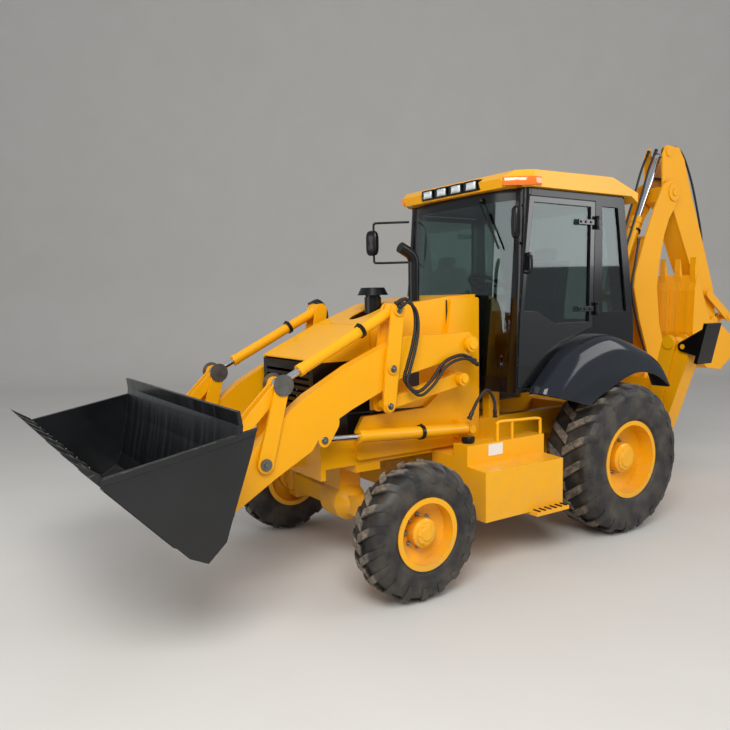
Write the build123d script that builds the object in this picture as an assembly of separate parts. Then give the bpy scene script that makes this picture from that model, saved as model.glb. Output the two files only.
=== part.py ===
from build123d import *
import os
from math import atan2, cos, degrees, hypot, radians, sin

# Backhoe loader: front loader on a parallel linkage, centre-mounted backhoe, enclosed cab.
# Millimetres. +X is the machine's left, -Y its front, +Z up. Pieces are drawn with the front
# axle at y = 0 and the ground at z = 0, then all are moved by LENGTH_SHIFT, which puts the
# origin on the ground below the middle of the whole machine.

LENGTH_SHIFT = -1532

# ---- driving dimensions -------------------------------------------------------------------
WHEELBASE = 2320
FRONT_TYRE_RADIUS, FRONT_TYRE_WIDTH, FRONT_RIM_RADIUS = 482, 300, 252
REAR_TYRE_RADIUS, REAR_TYRE_WIDTH, REAR_RIM_RADIUS = 655, 480, 336
FRONT_WHEEL_X, REAR_WHEEL_X = 972, 800
FRONT_LUG_COUNT, REAR_LUG_COUNT = 18, 20    # on each half of the tread
LUG_HEIGHT = 32
KINGPIN_X = 835
PLATE_GAP = 6              # side clearance between plates that swing past each other
PIN_FIT = 0.3              # radial clearance of a pin in its eye

# chassis
RAIL_OUT, RAIL_IN, RAIL_BOTTOM, RAIL_TOP = 380, 300, 840, 1060
RAIL_FRONT, RAIL_REAR = -370, 3290
TOWER_THICK = 40
TOWER_OUT = RAIL_OUT + TOWER_THICK

# loader linkage: pins in the side view (y, z), layers across (x)
ARM_PIVOT = (820, 1710)
TOWER_PIN = (740, 1440)
LEVER_PIVOT = (60, 1570)
LEVER_TOP = (120, 1990)
LEVER_BOTTOM = (30, 1300)
DUMP_PIVOT = (-960, 1010)
DUMP_TOP = (-820, 1520)
BUCKET_PIVOT = (-1270, 780)
BUCKET_PIN = (-1220, 1130)
LIFT_ARM_PIN = (-500, 1110)
LIFT_BASE_PIN = (860, 1030)
ARM_MID, ARM_HALF = 555, 48
LEVER_PLATE = 22
LINK_PLATE = 18
EYE_HALF = 25              # half thickness of a cylinder's eye
LOADER_PIN_RADIUS = 28
PIN_HEAD = 8

# loader bucket
BUCKET_WIDTH, BUCKET_PLATE, BUCKET_TEETH = 2270, 20, 8
EAR_PLATE = 25
EAR_REACH = ARM_HALF + PLATE_GAP + LEVER_PLATE + 15    # from the arm's middle to an ear's near face

# hood and grille
HOOD_HALF, HOOD_FRONT, HOOD_SPLIT, COWL_REAR, SHEET = 400, -470, 20, 1085, 12
COWL_HALF = RAIL_OUT - PIN_FIT
GRILLE_TOP = 1625

# cab
CAB_HALF, CAB_WALL, CAB_FRONT, CAB_FLOOR, CAB_REAR_FLOOR = 750, 40, 1115, 1300, 1440

# backhoe pins in the side view (y, z)
SWING_Y = 3850
BOOM_FOOT = (4100, 980)
BOOM_CYLINDER_BASE = (3710, 1200)
BOOM_BRACKET = (3330, 2065)
DIPPER_PIVOT = (4130, 3160)
DIPPER_TAIL = (4100, 3590)
BUCKET_CYLINDER_BASE = (4400, 3000)
DIPPER_LINK_PIN = (4840, 2070)
ROD_PIN = (5250, 1800)
HOE_PIVOT = (5000, 1740)
HOE_LINK_PIN = (5080, 1510)
BOOM_HALF, BOOM_PLATE = 165, 16
DIPPER_HALF, DIPPER_PLATE = 115, 16
HOE_WIDTH, HOE_PLATE, HOE_TEETH = 620, 14, 4

# stabilizers: points in the front view (x, z), the plane they swing in (y)
STAB_Y = 3400
STAB_PIVOT = (460, 620)
STAB_TOP_PIN = (700, 1610)
STAB_ROD_PIN = (548, 853)
STAB_PAD_PIN = (838, 1575)
STAB_HALF = 90


# ---- small drawing helpers ----------------------------------------------------------------
def side(points, radius=0):
    """Closed outline in the side view (y, z), corners rounded by radius."""
    line = FilletPolyline(*points, radius=radius, close=True) if radius else Polyline(*points, close=True)
    return Plane.YZ * make_face(line)


def slab(face, x_from, x_to):
    """Side-view face extruded across the machine between two x values."""
    return extrude(Pos(x_from, 0, 0) * face, x_to - x_from)


def bar(start, end, start_radius, end_radius):
    """Side-view outline of a link: two round ends joined by straight flanks."""
    ends = [Pos(*start) * Circle(start_radius), Pos(*end) * Circle(end_radius)]
    return Plane.YZ * make_hull([edge for end_face in ends for edge in end_face.edges()])


def disc(point, radius, x_from, x_to):
    """Round bar across the machine, centred on a side-view point."""
    return slab(Plane.YZ * (Pos(*point) * Circle(radius)), x_from, x_to)


def rod(start, end, radius):
    """Round bar between two points in space."""
    start, end = Vector(*start), Vector(*end)
    return extrude(Plane(origin=start, z_dir=end - start) * Circle(radius), (end - start).length)


def block(x_from, x_to, y_from, y_to, z_from, z_to):
    """Box between two corners."""
    size = (x_to - x_from, y_to - y_from, z_to - z_from)
    return Pos(x_from, y_from, z_from) * Box(*size, align=(Align.MIN, Align.MIN, Align.MIN))


def both_sides(shape):
    """A piece and its mirror image across the machine's middle."""
    return shape + mirror(shape, about=Plane.YZ)


def along(start, end, distance):
    """Point on the line from start towards end, at a distance from start."""
    share = distance / hypot(end[0] - start[0], end[1] - start[1])
    return (start[0] + (end[0] - start[0]) * share, start[1] + (end[1] - start[1]) * share)


def at_x(x, point):
    """Side-view point as a point in space."""
    return (x, point[0], point[1])


def barrel(x, base, eye, length, radius, eye_radius, eye_half, bore):
    """Cylinder barrel in the side view: base eye, tube and gland, with its rod's bore."""
    neck, mouth = along(base, eye, eye_radius * 0.8), along(base, eye, length)
    body = disc(base, eye_radius, x - eye_half, x + eye_half)
    body += rod(at_x(x, neck), at_x(x, mouth), radius)
    gland = along(base, eye, length - radius)
    body += rod(at_x(x, gland), at_x(x, mouth), radius * 1.08)
    hollow = along(base, eye, eye_radius + 40)
    return body - rod(at_x(x, hollow), at_x(x, along(base, eye, length + 1)), bore)


def piston_rod(x, base, eye, inside, radius, eye_radius, eye_half):
    """Cylinder rod in the side view, from inside its barrel to its own eye."""
    tail = along(base, eye, inside)
    return rod(at_x(x, tail), at_x(x, eye), radius) + disc(eye, eye_radius, x - eye_half, x + eye_half)


# ---- wheels and axles ---------------------------------------------------------------------
def ring(profile, centre):
    """Revolve (x, radius) points about the wheel axis, then place the wheel's centre."""
    face = Plane.XZ * make_face(Polyline(*profile, close=True))
    return Pos(*centre) * revolve(face, Axis.X)


def tyre(centre, radius, width, rim_radius, lug_count):
    """Tyre casing with two rows of slanted lugs, set half a pitch apart, whose inner ends lead forwards."""
    half, bead = width / 2, rim_radius - 20
    bead_half = half * 0.80
    crown = radius - LUG_HEIGHT
    profile = [(-bead_half, bead), (bead_half, bead), (bead_half, rim_radius + 4), (half - 6, rim_radius + 75),
               (half - 6, crown - 60), (half - 60, crown), (-half + 60, crown), (-half + 6, crown - 60),
               (-half + 6, rim_radius + 75), (-bead_half, rim_radius + 4)]
    casing = ring(profile, (0, 0, 0))
    pitch = 360 / lug_count
    lug_width = radius * radians(pitch) * 0.36
    slant = half * 0.72
    # a lug is a slanted bar, cut to the tread's outline, which falls away at the shoulder
    plan = make_face(Polyline((-12, -slant / 2), (half, slant / 2), (half, slant / 2 + lug_width),
                              (-12, lug_width - slant / 2), close=True))
    tread = ring([(-20, crown - 20), (half - 14, crown - 95), (half, crown - 95), (half, radius - 84),
                  (half - 25, radius - 38), (half - 78, radius), (-20, radius)], (0, 0, 0))
    lug = extrude(Pos(0, -lug_width / 2, rim_radius) * plan, radius) & tread
    lugs = []
    for number in range(lug_count):
        lugs.append(Rot(number * pitch, 0, 0) * lug)
        lugs.append(Rot((number + 0.5) * pitch, 0, 0) * mirror(lug, about=Plane.YZ))
    return Pos(*centre) * (casing + lugs)


def rim(centre, width, rim_radius, hub_radius, disc_x, hub_x, side_sign):
    """Rim with flanges, disc and hub. disc_x and hub_x are measured outwards from the wheel's middle."""
    bead, half = rim_radius - 20.5, width / 2 * 0.80
    flange = half + 13
    s = side_sign
    barrel_ring = [(-flange, bead - 18), (-flange, rim_radius), (-half - 0.5, rim_radius), (-half - 0.5, bead),
                   (half + 0.5, bead), (half + 0.5, rim_radius), (flange, rim_radius), (flange, bead - 18)]
    dish = [(s * disc_x, 60), (s * disc_x, hub_radius + 25), (s * (disc_x + 30), bead - 10),
            (s * (disc_x + 46), bead - 10), (s * (disc_x + 18), hub_radius + 20), (s * (disc_x + 18), 60)]
    hub = [(s * (disc_x - 60), 0), (s * (disc_x - 60), hub_radius), (s * hub_x, hub_radius),
           (s * (hub_x + 16), hub_radius - 22), (s * (hub_x + 16), 0)]
    return ring(barrel_ring, centre) + ring(dish, centre) + ring(hub, centre)


STUB_END = FRONT_WHEEL_X - 70     # inner face of the front hubs
REAR_HUB_FACE = REAR_WHEEL_X - 40  # inner face of the rear hubs
KINGPIN_RADIUS = 22


def front_axle():
    """Steered axle: box beam with its final drive, a yoke at each end, and the pivot saddle above."""
    z = FRONT_TYRE_RADIUS
    beam = block(-KINGPIN_X + 110, KINGPIN_X - 110, -60, 60, z - 70, z + 70)
    drive = ring([(-210, 0), (-210, 60), (-110, 145), (110, 145), (210, 60), (210, 0)], (0, 0, z))
    yokes = Part()
    for low in (z + 96, z - 138):
        yokes += block(KINGPIN_X - 150, KINGPIN_X, -48, 48, low, low + 42)
        yokes += Pos(KINGPIN_X, 0, low + 21) * Cylinder(48, 42)
    yokes += block(KINGPIN_X - 150, KINGPIN_X - 95, -55, 55, z - 138, z + 138)
    yokes -= Pos(KINGPIN_X, 0, z) * Cylinder(KINGPIN_RADIUS + PIN_FIT, 400)
    saddle = block(-120, 120, -95, 95, z + 40, RAIL_BOTTOM - 60)
    tie_bar = block(-RAIL_OUT, RAIL_OUT, -110, 110, RAIL_BOTTOM - 60, RAIL_BOTTOM)
    return beam + drive + both_sides(yokes) + saddle + tie_bar


def knuckle(sign):
    """Steering knuckle between the axle's yokes, with its stub and steering arm."""
    z = FRONT_TYRE_RADIUS
    body = Pos(KINGPIN_X, 0, z) * Cylinder(58, 190)
    body += rod((KINGPIN_X + 5, 0, z), (STUB_END - PIN_FIT, 0, z), 75)
    body += Pos(KINGPIN_X, 0, z) * Cylinder(KINGPIN_RADIUS, 290)
    body += block(KINGPIN_X - 25, KINGPIN_X + 15, 40, 180, z - 15, z + 15)
    return body if sign > 0 else mirror(body, about=Plane.YZ)


def rear_axle():
    """Rigid axle turned about its own line: tubes, differential and hub reducers, on seats below the rails."""
    half = REAR_HUB_FACE - PIN_FIT
    shape = [(half, 0), (half, 140), (530, 150), (480, 95), (230, 95), (140, 195)]
    profile = [(-x, r) for x, r in shape] + shape[::-1]
    seat = block(RAIL_IN, RAIL_OUT, WHEELBASE - 110, WHEELBASE + 110, REAR_TYRE_RADIUS + 60, RAIL_BOTTOM)
    return ring(profile, (0, WHEELBASE, REAR_TYRE_RADIUS)) + both_sides(seat)


# ---- chassis ------------------------------------------------------------------------------
def chassis_frame():
    rail = block(RAIL_IN, RAIL_OUT, RAIL_FRONT, RAIL_REAR, RAIL_BOTTOM, RAIL_TOP)
    eye_in, eye_out = ARM_MID - EYE_HALF, ARM_MID + EYE_HALF
    lift_lug = block(RAIL_OUT, eye_in - 32, LIFT_BASE_PIN[0] - 60, LIFT_BASE_PIN[0] + 60, 950, 1095)
    lift_lug += disc(LIFT_BASE_PIN, 34, eye_in - 32, eye_in - PIN_FIT)
    lift_pin = disc(LIFT_BASE_PIN, LOADER_PIN_RADIUS, eye_in - PIN_FIT, eye_out + 20)
    lift_pin += disc(LIFT_BASE_PIN, 34, eye_out + PIN_FIT, eye_out + 20)
    # cab mounts: y, z they reach up to
    for y, top in ((1300, CAB_FLOOR), (2380, CAB_REAR_FLOOR)):
        rail += block(RAIL_IN, RAIL_OUT, y - 60, y + 60, RAIL_TOP, top)
    sides = both_sides(rail + lift_lug + lift_pin)
    # cross-members: y from, y to, z from, z to
    for y_from, y_to, z_from, z_to in ((RAIL_FRONT - 40, RAIL_FRONT, 760, RAIL_TOP), (640, 720, 860, 1040),
                                       (1500, 1580, 860, 1040), (2480, 2560, 860, 1040)):
        half = RAIL_OUT if y_to == RAIL_FRONT else RAIL_IN
        sides += block(-half, half, y_from, y_to, z_from, z_to)
    tow_eye = slab(side([(RAIL_FRONT - 40, 800), (RAIL_FRONT - 130, 800), (RAIL_FRONT - 130, 900),
                         (RAIL_FRONT - 40, 930)]), -20, 20)
    tow_eye -= disc((RAIL_FRONT - 90, 850), 20, -30, 30)
    return sides + tow_eye


def loader_towers():
    plate = side([(1090, RAIL_BOTTOM + 40), (1090, 2075), (800, 2065), (705, 1420), (640, 1300), (520, 1215),
                  (-60, 1205), (-120, 1100), (-120, RAIL_BOTTOM + 40)], 20)
    tower = slab(plate, RAIL_OUT, TOWER_OUT)
    arm_inner, link_inner = ARM_MID - ARM_HALF - PLATE_GAP, ARM_MID - 25 - PLATE_GAP
    tower += disc(ARM_PIVOT, 85, TOWER_OUT, arm_inner) + disc(ARM_PIVOT, 38, TOWER_OUT, 660)
    tower += disc(ARM_PIVOT, 60, ARM_MID + ARM_HALF + PLATE_GAP, 645)
    tower += disc(TOWER_PIN, 62, TOWER_OUT, link_inner) + disc(TOWER_PIN, LOADER_PIN_RADIUS, TOWER_OUT, 650)
    tower += disc(TOWER_PIN, 50, ARM_MID + 25 + PLATE_GAP, 635)
    return both_sides(tower)


def engine_block():
    """Engine as one plain casting with its sump and the feet that bolt to the rails."""
    block_shape = block(-260, 260, -250, 620, 980, 1600) + block(-200, 200, -150, 500, 880, 980)
    return block_shape + block(-RAIL_IN, RAIL_IN, 120, 220, 980, RAIL_TOP)


def front_grille():
    face = block(-HOOD_HALF + 20, HOOD_HALF - 20, HOOD_FRONT, HOOD_FRONT + 40, 1065, GRILLE_TOP)
    cheek = block(HOOD_HALF - 20, HOOD_HALF, HOOD_FRONT, -190, 1065, GRILLE_TOP)
    shelf = block(-HOOD_HALF, HOOD_HALF, HOOD_FRONT, HOOD_FRONT + 140, RAIL_TOP, 1080)
    for row in range(10):
        low = 1125 + row * 46
        face -= block(-HOOD_HALF + 60, HOOD_HALF - 60, HOOD_FRONT - 1, HOOD_FRONT + 41, low, low + 22)
    return face + both_sides(cheek) + shelf


HOOD_LINE = [(HOOD_FRONT, 1650), (HOOD_SPLIT, 1880), (HOOD_SPLIT + 8, 1884), (420, 2035), (800, 2085),
             (COWL_REAR, 2100)]


def hood_shell(y_from, y_to, top, bottom, half):
    """Sheet cover open below: a roof along the top line, and two sides down to bottom."""
    outer = slab(side([(y_from, bottom), *top, (y_to, bottom)]), -half, half)
    inner_top = [(y, z - SHEET) for y, z in top]
    inner_top[0] = (y_from - 1, inner_top[0][1])
    inner_top[-1] = (y_to + 1, inner_top[-1][1])
    inner = slab(side([(y_from - 1, bottom - 1), *inner_top, (y_to + 1, bottom - 1)]), -half + SHEET, half - SHEET)
    return outer - inner


HOOD_HINGE = (HOOD_SPLIT + 4, 1880)


def hood_knuckles(radius, x_from, x_to):
    return both_sides(disc(HOOD_HINGE, radius, x_from, x_to))


def hood():
    shell = hood_shell(HOOD_FRONT, HOOD_SPLIT, HOOD_LINE[:2], GRILLE_TOP + PIN_FIT, HOOD_HALF)
    return shell - hood_knuckles(13, 243, 303) + hood_knuckles(9, 180, 240)


def engine_cowl():
    shell = hood_shell(HOOD_SPLIT + 8, COWL_REAR, HOOD_LINE[2:], 1220, COWL_HALF)
    opening = Pos(0, PRECLEANER_Y - 55, 1900) * extrude(Ellipse(105, 160), 300)
    stack_hole = Pos(*STACK, 1950) * Cylinder(STACK_RADIUS + 12, 400)
    return shell - opening - stack_hole - hood_knuckles(13, 177, 243) + hood_knuckles(9, 246, 300)


PRECLEANER_Y = 325
STACK, STACK_RADIUS = (240, 560), 44


def precleaner():
    foot = Pos(0, PRECLEANER_Y, 1600) * Cylinder(60, 505, align=(Align.CENTER, Align.CENTER, Align.MIN))
    bowl = Pos(0, PRECLEANER_Y, 1960) * Cylinder(68, 130, align=(Align.CENTER, Align.CENTER, Align.MIN))
    cap = Pos(0, PRECLEANER_Y, 2105) * Cone(125, 95, 60, align=(Align.CENTER, Align.CENTER, Align.MIN))
    return foot + bowl + cap


def exhaust_stack():
    x, y = STACK
    path = FilletPolyline((x, y, 1600), (x, y, 2410), (x, y - 130, 2475), radius=90)
    return sweep(Plane(origin=(x, y, 1600)) * Circle(STACK_RADIUS), path)


def step_tanks():
    """Tanks below the cab doors: high outer part, low part under the lift cylinder, outer step."""
    profile = [(ARM_MID + ARM_HALF + 37, 955), (800, 955), (800, 800), (1000, 790), (1000, 415), (RAIL_OUT, 415),
               (RAIL_OUT, 860), (ARM_MID + ARM_HALF + 37, 860)]
    tank = extrude(Pos(0, 620, 0) * (Plane.XZ * make_face(Polyline(*profile, close=True))), -830)
    step = block(1000, 1075, 1080, 1440, 395, 425) + block(940, 1000, 1080, 1440, 395, 415)
    return both_sides(tank + step)


def rear_frame():
    """Transverse box behind the rear axle: stabilizer brackets, and the lugs of the swing hinge."""
    front, back = STAB_Y - 120, STAB_Y + 120
    core = block(-RAIL_OUT, RAIL_OUT, RAIL_REAR, back - 20, 560, RAIL_TOP)
    core += block(-RAIL_OUT, RAIL_OUT, back - 20, back, 480, RAIL_TOP + 160)
    strip = make_hull([e for p, r in ((STAB_PIVOT, 75), (STAB_TOP_PIN, 70)) for e in (Pos(*p) * Circle(r)).edges()])
    foot = make_face(Polyline((380, 480), (STAB_PIVOT[0], 545), (STAB_PIVOT[0] + 60, 700), (540, 1000), (380, 1060),
                              close=True))
    bracket = Part()
    for y in (front + 15, back):
        bracket += Pos(0, y, 0) * (extrude(Plane.XZ * (strip + foot), 15))
    for pin, radius in ((STAB_PIVOT, 26), (STAB_TOP_PIN, 26)):
        bracket += rod((pin[0], front, pin[1]), (pin[0], back, pin[1]), radius)
    bracket += rod((STAB_TOP_PIN[0], front - 14, STAB_TOP_PIN[1]), (STAB_TOP_PIN[0], front, STAB_TOP_PIN[1]), 62)
    frame = core + both_sides(bracket)
    for z_low in (500, 920):
        lug = make_hull((Pos(0, SWING_Y) * Circle(95)).edges() + (Pos(0, back) * Rectangle(180, 10)).edges())
        frame += Pos(0, 0, z_low) * extrude(lug, 40)
    for sign in (-1, 1):
        frame += rod((sign * 150, back - 20, 600), (sign * 150, back + 60, 600), 45)
    return frame - Pos(0, SWING_Y, 730) * Cylinder(35 + PIN_FIT, 600)


# ---- loader -------------------------------------------------------------------------------
def loader_arms():
    outline = side([(-1215, 700), (-880, 900), (-600, 1050), (-500, 1190), (-270, 1305), (0, 1415), (200, 1510),
                    (520, 1575), (720, 1622), (820, 1612), (920, 1710), (820, 1808), (600, 1795), (200, 1800),
                    (30, 1740), (-290, 1610), (-630, 1430), (-790, 1315), (-960, 1180), (-1080, 1062),
                    (-1200, 905), (-1365, 790), (-1340, 700)], 30)
    inner, outer = ARM_MID - ARM_HALF, ARM_MID + ARM_HALF
    arm = slab(outline, inner, outer)
    lug_face = bar(LIFT_ARM_PIN, (-470, 1230), 48, 90)
    arm -= slab(side([(-640, 1000), (-640, 1165), (-500, 1250), (-330, 1250), (-330, 1000)]), inner + 16, outer - 16)
    arm += slab(lug_face, inner, inner + 16) + slab(lug_face, outer - 16, outer)
    for pin, radius in ((ARM_PIVOT, 38), (LEVER_PIVOT, LOADER_PIN_RADIUS), (DUMP_PIVOT, LOADER_PIN_RADIUS),
                        (BUCKET_PIVOT, LOADER_PIN_RADIUS)):
        arm -= disc(pin, radius + PIN_FIT, inner - 1, outer + 1)
    cross_tube = disc((-775, 1070), 66, -inner, inner)
    return both_sides(arm) + cross_tube


def levelling_levers():
    """Two plates astride each arm, with the pin through the arm and the pin of the tilt cylinder."""
    inner, outer = ARM_MID - ARM_HALF - PLATE_GAP, ARM_MID + ARM_HALF + PLATE_GAP
    lever = Part()
    for x_from, x_to in ((inner - LEVER_PLATE, inner), (outer, outer + LEVER_PLATE)):
        lever += slab(bar(LEVER_TOP, LEVER_PIVOT, 54, 62), x_from, x_to)
        lever += slab(bar(LEVER_PIVOT, LEVER_BOTTOM, 62, 54), x_from, x_to)
    for pin in (LEVER_PIVOT, LEVER_TOP):
        lever += disc(pin, LOADER_PIN_RADIUS, inner, outer)
    for pin in (LEVER_TOP, LEVER_PIVOT, LEVER_BOTTOM):
        lever += disc(pin, 42, outer + LEVER_PLATE, outer + LEVER_PLATE + 12)
    stub_end = EYE_HALF + 5
    lever += disc(LEVER_BOTTOM, LOADER_PIN_RADIUS, inner, ARM_MID - stub_end)
    lever += disc(LEVER_BOTTOM, LOADER_PIN_RADIUS, ARM_MID + stub_end, outer)
    return both_sides(lever)


def levelling_links():
    link = slab(bar(LEVER_BOTTOM, TOWER_PIN, 40, 55), ARM_MID - EYE_HALF, ARM_MID + EYE_HALF)
    return both_sides(link - disc(TOWER_PIN, LOADER_PIN_RADIUS + PIN_FIT, 400, 700))


TILT_BARREL_RADIUS, TILT_ROD_RADIUS, TILT_BARREL_LENGTH = 40, 25, 880
LIFT_BARREL_RADIUS, LIFT_ROD_RADIUS, LIFT_BARREL_LENGTH = 46, 24, 1060


def tilt_barrels():
    body = barrel(ARM_MID, LEVER_TOP, DUMP_TOP, TILT_BARREL_LENGTH, TILT_BARREL_RADIUS, 50, EYE_HALF + 10,
                  TILT_ROD_RADIUS + 1)
    return both_sides(body - disc(LEVER_TOP, LOADER_PIN_RADIUS + PIN_FIT, 400, 700))


def tilt_rods():
    return both_sides(piston_rod(ARM_MID, LEVER_TOP, DUMP_TOP, 300, TILT_ROD_RADIUS, 42, EYE_HALF))


def cross_shaft(point, reach, radius):
    """Shaft across the machine: a pin through each arm and the plates beside it, on a thick middle."""
    shaft = disc(point, radius, reach - ARM_MID, ARM_MID - reach)
    pin = disc(point, LOADER_PIN_RADIUS, ARM_MID - reach - 20, ARM_MID + reach)
    return shaft + both_sides(pin + disc(point, 40, ARM_MID + reach, ARM_MID + reach + PIN_HEAD))


def dump_pivot_pins():
    return cross_shaft(DUMP_PIVOT, ARM_HALF + PLATE_GAP + LEVER_PLATE + 1, 60)


def bucket_pivot_pins():
    return cross_shaft(BUCKET_PIVOT, EAR_REACH + EAR_PLATE + 13, 60)


def dump_levers():
    inner, outer = ARM_MID - ARM_HALF - PLATE_GAP, ARM_MID + ARM_HALF + PLATE_GAP
    lever = Part()
    for x_from, x_to in ((inner - LEVER_PLATE, inner), (outer, outer + LEVER_PLATE)):
        lever += slab(bar(DUMP_PIVOT, DUMP_TOP, 58, 48), x_from, x_to)
    for pin in (DUMP_PIVOT, DUMP_TOP):
        lever -= disc(pin, LOADER_PIN_RADIUS + PIN_FIT, 400, 700)
    return both_sides(lever)


def dump_top_pins():
    """Pins at the dump levers' tops: they carry the dump links and stop short of the rod's eye."""
    reach, stop = ARM_HALF + PLATE_GAP + LEVER_PLATE + 1, EYE_HALF + 5
    pins = disc(DUMP_TOP, LOADER_PIN_RADIUS, ARM_MID - reach, ARM_MID - stop)
    pins += disc(DUMP_TOP, LOADER_PIN_RADIUS, ARM_MID + stop, ARM_MID + reach)
    pins += disc(DUMP_TOP, 72, ARM_MID + reach, ARM_MID + reach + PIN_HEAD)
    pins += disc(DUMP_TOP, 72, ARM_MID - reach - PIN_HEAD, ARM_MID - reach)
    return both_sides(pins)


def dump_links():
    link_face = bar(DUMP_TOP, BUCKET_PIN, 42, 40) - Plane.YZ * (Pos(*DUMP_TOP) * Circle(LOADER_PIN_RADIUS + PIN_FIT))
    inner, outer = ARM_MID - ARM_HALF, ARM_MID + ARM_HALF
    link = slab(link_face, inner, inner + LINK_PLATE) + slab(link_face, outer - LINK_PLATE, outer)
    return both_sides(link)


BUCKET_SHELL = [(-2115, 1165), (-1665, 690), (-1560, 640), (-1450, 740), (-1410, 860), (-1350, 1180),
                (-1330, 1380), (-1345, 1465)]


def loader_bucket():
    half = BUCKET_WIDTH / 2
    # the wrapper plate: floor, heel, back and spill guard, drawn on its outside
    outside = BUCKET_SHELL
    inside = [(-2085, 1180), (-1662, 725), (-1590, 690), (-1475, 765), (-1433, 868), (-1373, 1185), (-1352, 1383),
              (-1362, 1462)]
    wrapper = slab(side(outside + inside[::-1]), -half, half)
    cheek = side([(-2115, 1165), (-1665, 690), (-1560, 640), (-1450, 740), (-1410, 860), (-1285, 1215), (-1245, 1360),
                  (-1550, 1300), (-2115, 1195)])
    cheeks = both_sides(slab(cheek, half - BUCKET_PLATE, half))
    edge = slab(side([(-2160, 1215), (-2060, 1110), (-2040, 1130), (-2130, 1225)]), -half, half)
    teeth = Part()
    pitch = (BUCKET_WIDTH - 80) / (BUCKET_TEETH - 1)
    for number in range(BUCKET_TEETH):
        x = -half + 40 + number * pitch
        teeth += slab(side([(-2235, 1300), (-2090, 1140), (-2070, 1160), (-2100, 1215)]), x - 28, x + 28)
    ear_face = side([(-1420, 860), (-1300, 690), (-1210, 720), (-1190, 800), (-1155, 1120), (-1200, 1195),
                     (-1345, 1230)], 25)
    inner, outer = ARM_MID - EAR_REACH, ARM_MID + EAR_REACH
    ears = slab(ear_face, inner - EAR_PLATE, inner) + slab(ear_face, outer, outer + EAR_PLATE)
    for pin, radius in ((BUCKET_PIVOT, 46), (BUCKET_PIN, 42)):
        ears += disc(pin, radius, outer + EAR_PLATE, outer + EAR_PLATE + 12)
        ears += disc(pin, radius, inner - EAR_PLATE - 12, inner - EAR_PLATE)
    ears -= disc(BUCKET_PIVOT, LOADER_PIN_RADIUS + PIN_FIT, 400, 700)
    ears += disc(BUCKET_PIN, LOADER_PIN_RADIUS, inner, ARM_MID - ARM_HALF - 5)
    ears += disc(BUCKET_PIN, LOADER_PIN_RADIUS, ARM_MID + ARM_HALF + 5, outer)
    # wear strips under the floor, and the stiffener along each cheek's top edge
    strip = side([(-2030, 1076), (-1665, 690), (-1560, 640), (-1560, 628), (-1672, 680), (-2037, 1067)])
    strips = Part()
    for x in (-840, -280, 280, 840):
        strips += slab(strip, x - 40, x + 40)
    stiffener = slab(side([(-2110, 1195), (-1550, 1300), (-1262, 1355), (-1268, 1325), (-1548, 1268), (-2110, 1163)]),
                     half, half + 12)
    return wrapper + cheeks + edge + teeth + strips + both_sides(ears) + both_sides(stiffener)


def lift_barrels():
    body = barrel(ARM_MID, LIFT_BASE_PIN, LIFT_ARM_PIN, LIFT_BARREL_LENGTH, LIFT_BARREL_RADIUS, 50, EYE_HALF,
                  LIFT_ROD_RADIUS + 1)
    return both_sides(body - disc(LIFT_BASE_PIN, LOADER_PIN_RADIUS + PIN_FIT, 400, 700))


def lift_rods():
    return both_sides(piston_rod(ARM_MID, LIFT_BASE_PIN, LIFT_ARM_PIN, 250, LIFT_ROD_RADIUS, 42, EYE_HALF))


# ---- cab ----------------------------------------------------------------------------------
def cab_prism(shrink):
    """Cab body: its side view across the width, with the front corners cut back in plan."""
    s = shrink
    rear = CAB_REAR_FLOOR
    profile = side([(CAB_FRONT + s, CAB_FLOOR + s), (1560 - s, CAB_FLOOR + s), (1680 - s, rear + s),
                    (2670 - s, rear + s), (2660 - s, 1860), (2500 - s, 2930 - s), (1215 + s, 2930 - s)])
    body = slab(profile, -CAB_HALF + s, CAB_HALF - s)
    half = CAB_HALF - s
    plan = Polyline((-half, 2800), (-half, 1290 + s), (-500, 1050 + s), (500, 1050 + s), (half, 1290 + s),
                    (half, 2800), close=True)
    return body & (Pos(0, 0, 1200) * extrude(make_face(plan), 2000))


DOOR_OUTLINE = [(1300, 1345), (1200, 1345), (1225, 1900), (1330, 2865), (2120, 2865), (2100, 1800), (1690, 1680),
                (1340, 1375)]
DOOR_GLASS = [(1265, 1960), (1375, 2820), (2065, 2820), (2055, 1850), (1620, 1850), (1420, 1950)]


QUARTER_WINDOW = [(2230, 1930), (2210, 2830), (2420, 2830), (2560, 1930)]


def shape_side(points, grow, x_from, x_to):
    """Side-view outline grown or shrunk by an offset, extruded across."""
    face = side(points)
    return slab(offset(face, grow, kind=Kind.INTERSECTION) if grow else face, x_from, x_to)


def cab_frame():
    body = cab_prism(0) - cab_prism(CAB_WALL)
    body += door_lugs()
    body -= block(-440, 440, 1000, 1400, 1500, 2850)
    body -= block(-560, 560, 2400, 2800, 1850, 2840)
    for sign in (-1, 1):
        span = sorted((sign * (CAB_HALF - 120), sign * (CAB_HALF + 20)))
        body -= shape_side(DOOR_OUTLINE, 6, *span)
        body -= slab(side(QUARTER_WINDOW), *span)
    return body


def cab_roof():
    profile = side([(1150, 2932), (1120, 3000), (1210, 3060), (2280, 3075), (2630, 2965), (2630, 2880),
                    (2540, 2932)])
    roof = slab(profile, -800, 800)
    plan = Polyline((-800, 2700), (-800, 1330), (-640, 1120), (640, 1120), (800, 1330), (800, 2700), close=True)
    roof = roof & (Pos(0, 0, 2800) * extrude(make_face(plan), 400))
    roof -= block(-385, 385, 1100, 1175, 2945, 3035)
    return roof - both_sides(block(655, 740, 1100, 1305, 2920, 2962))


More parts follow.
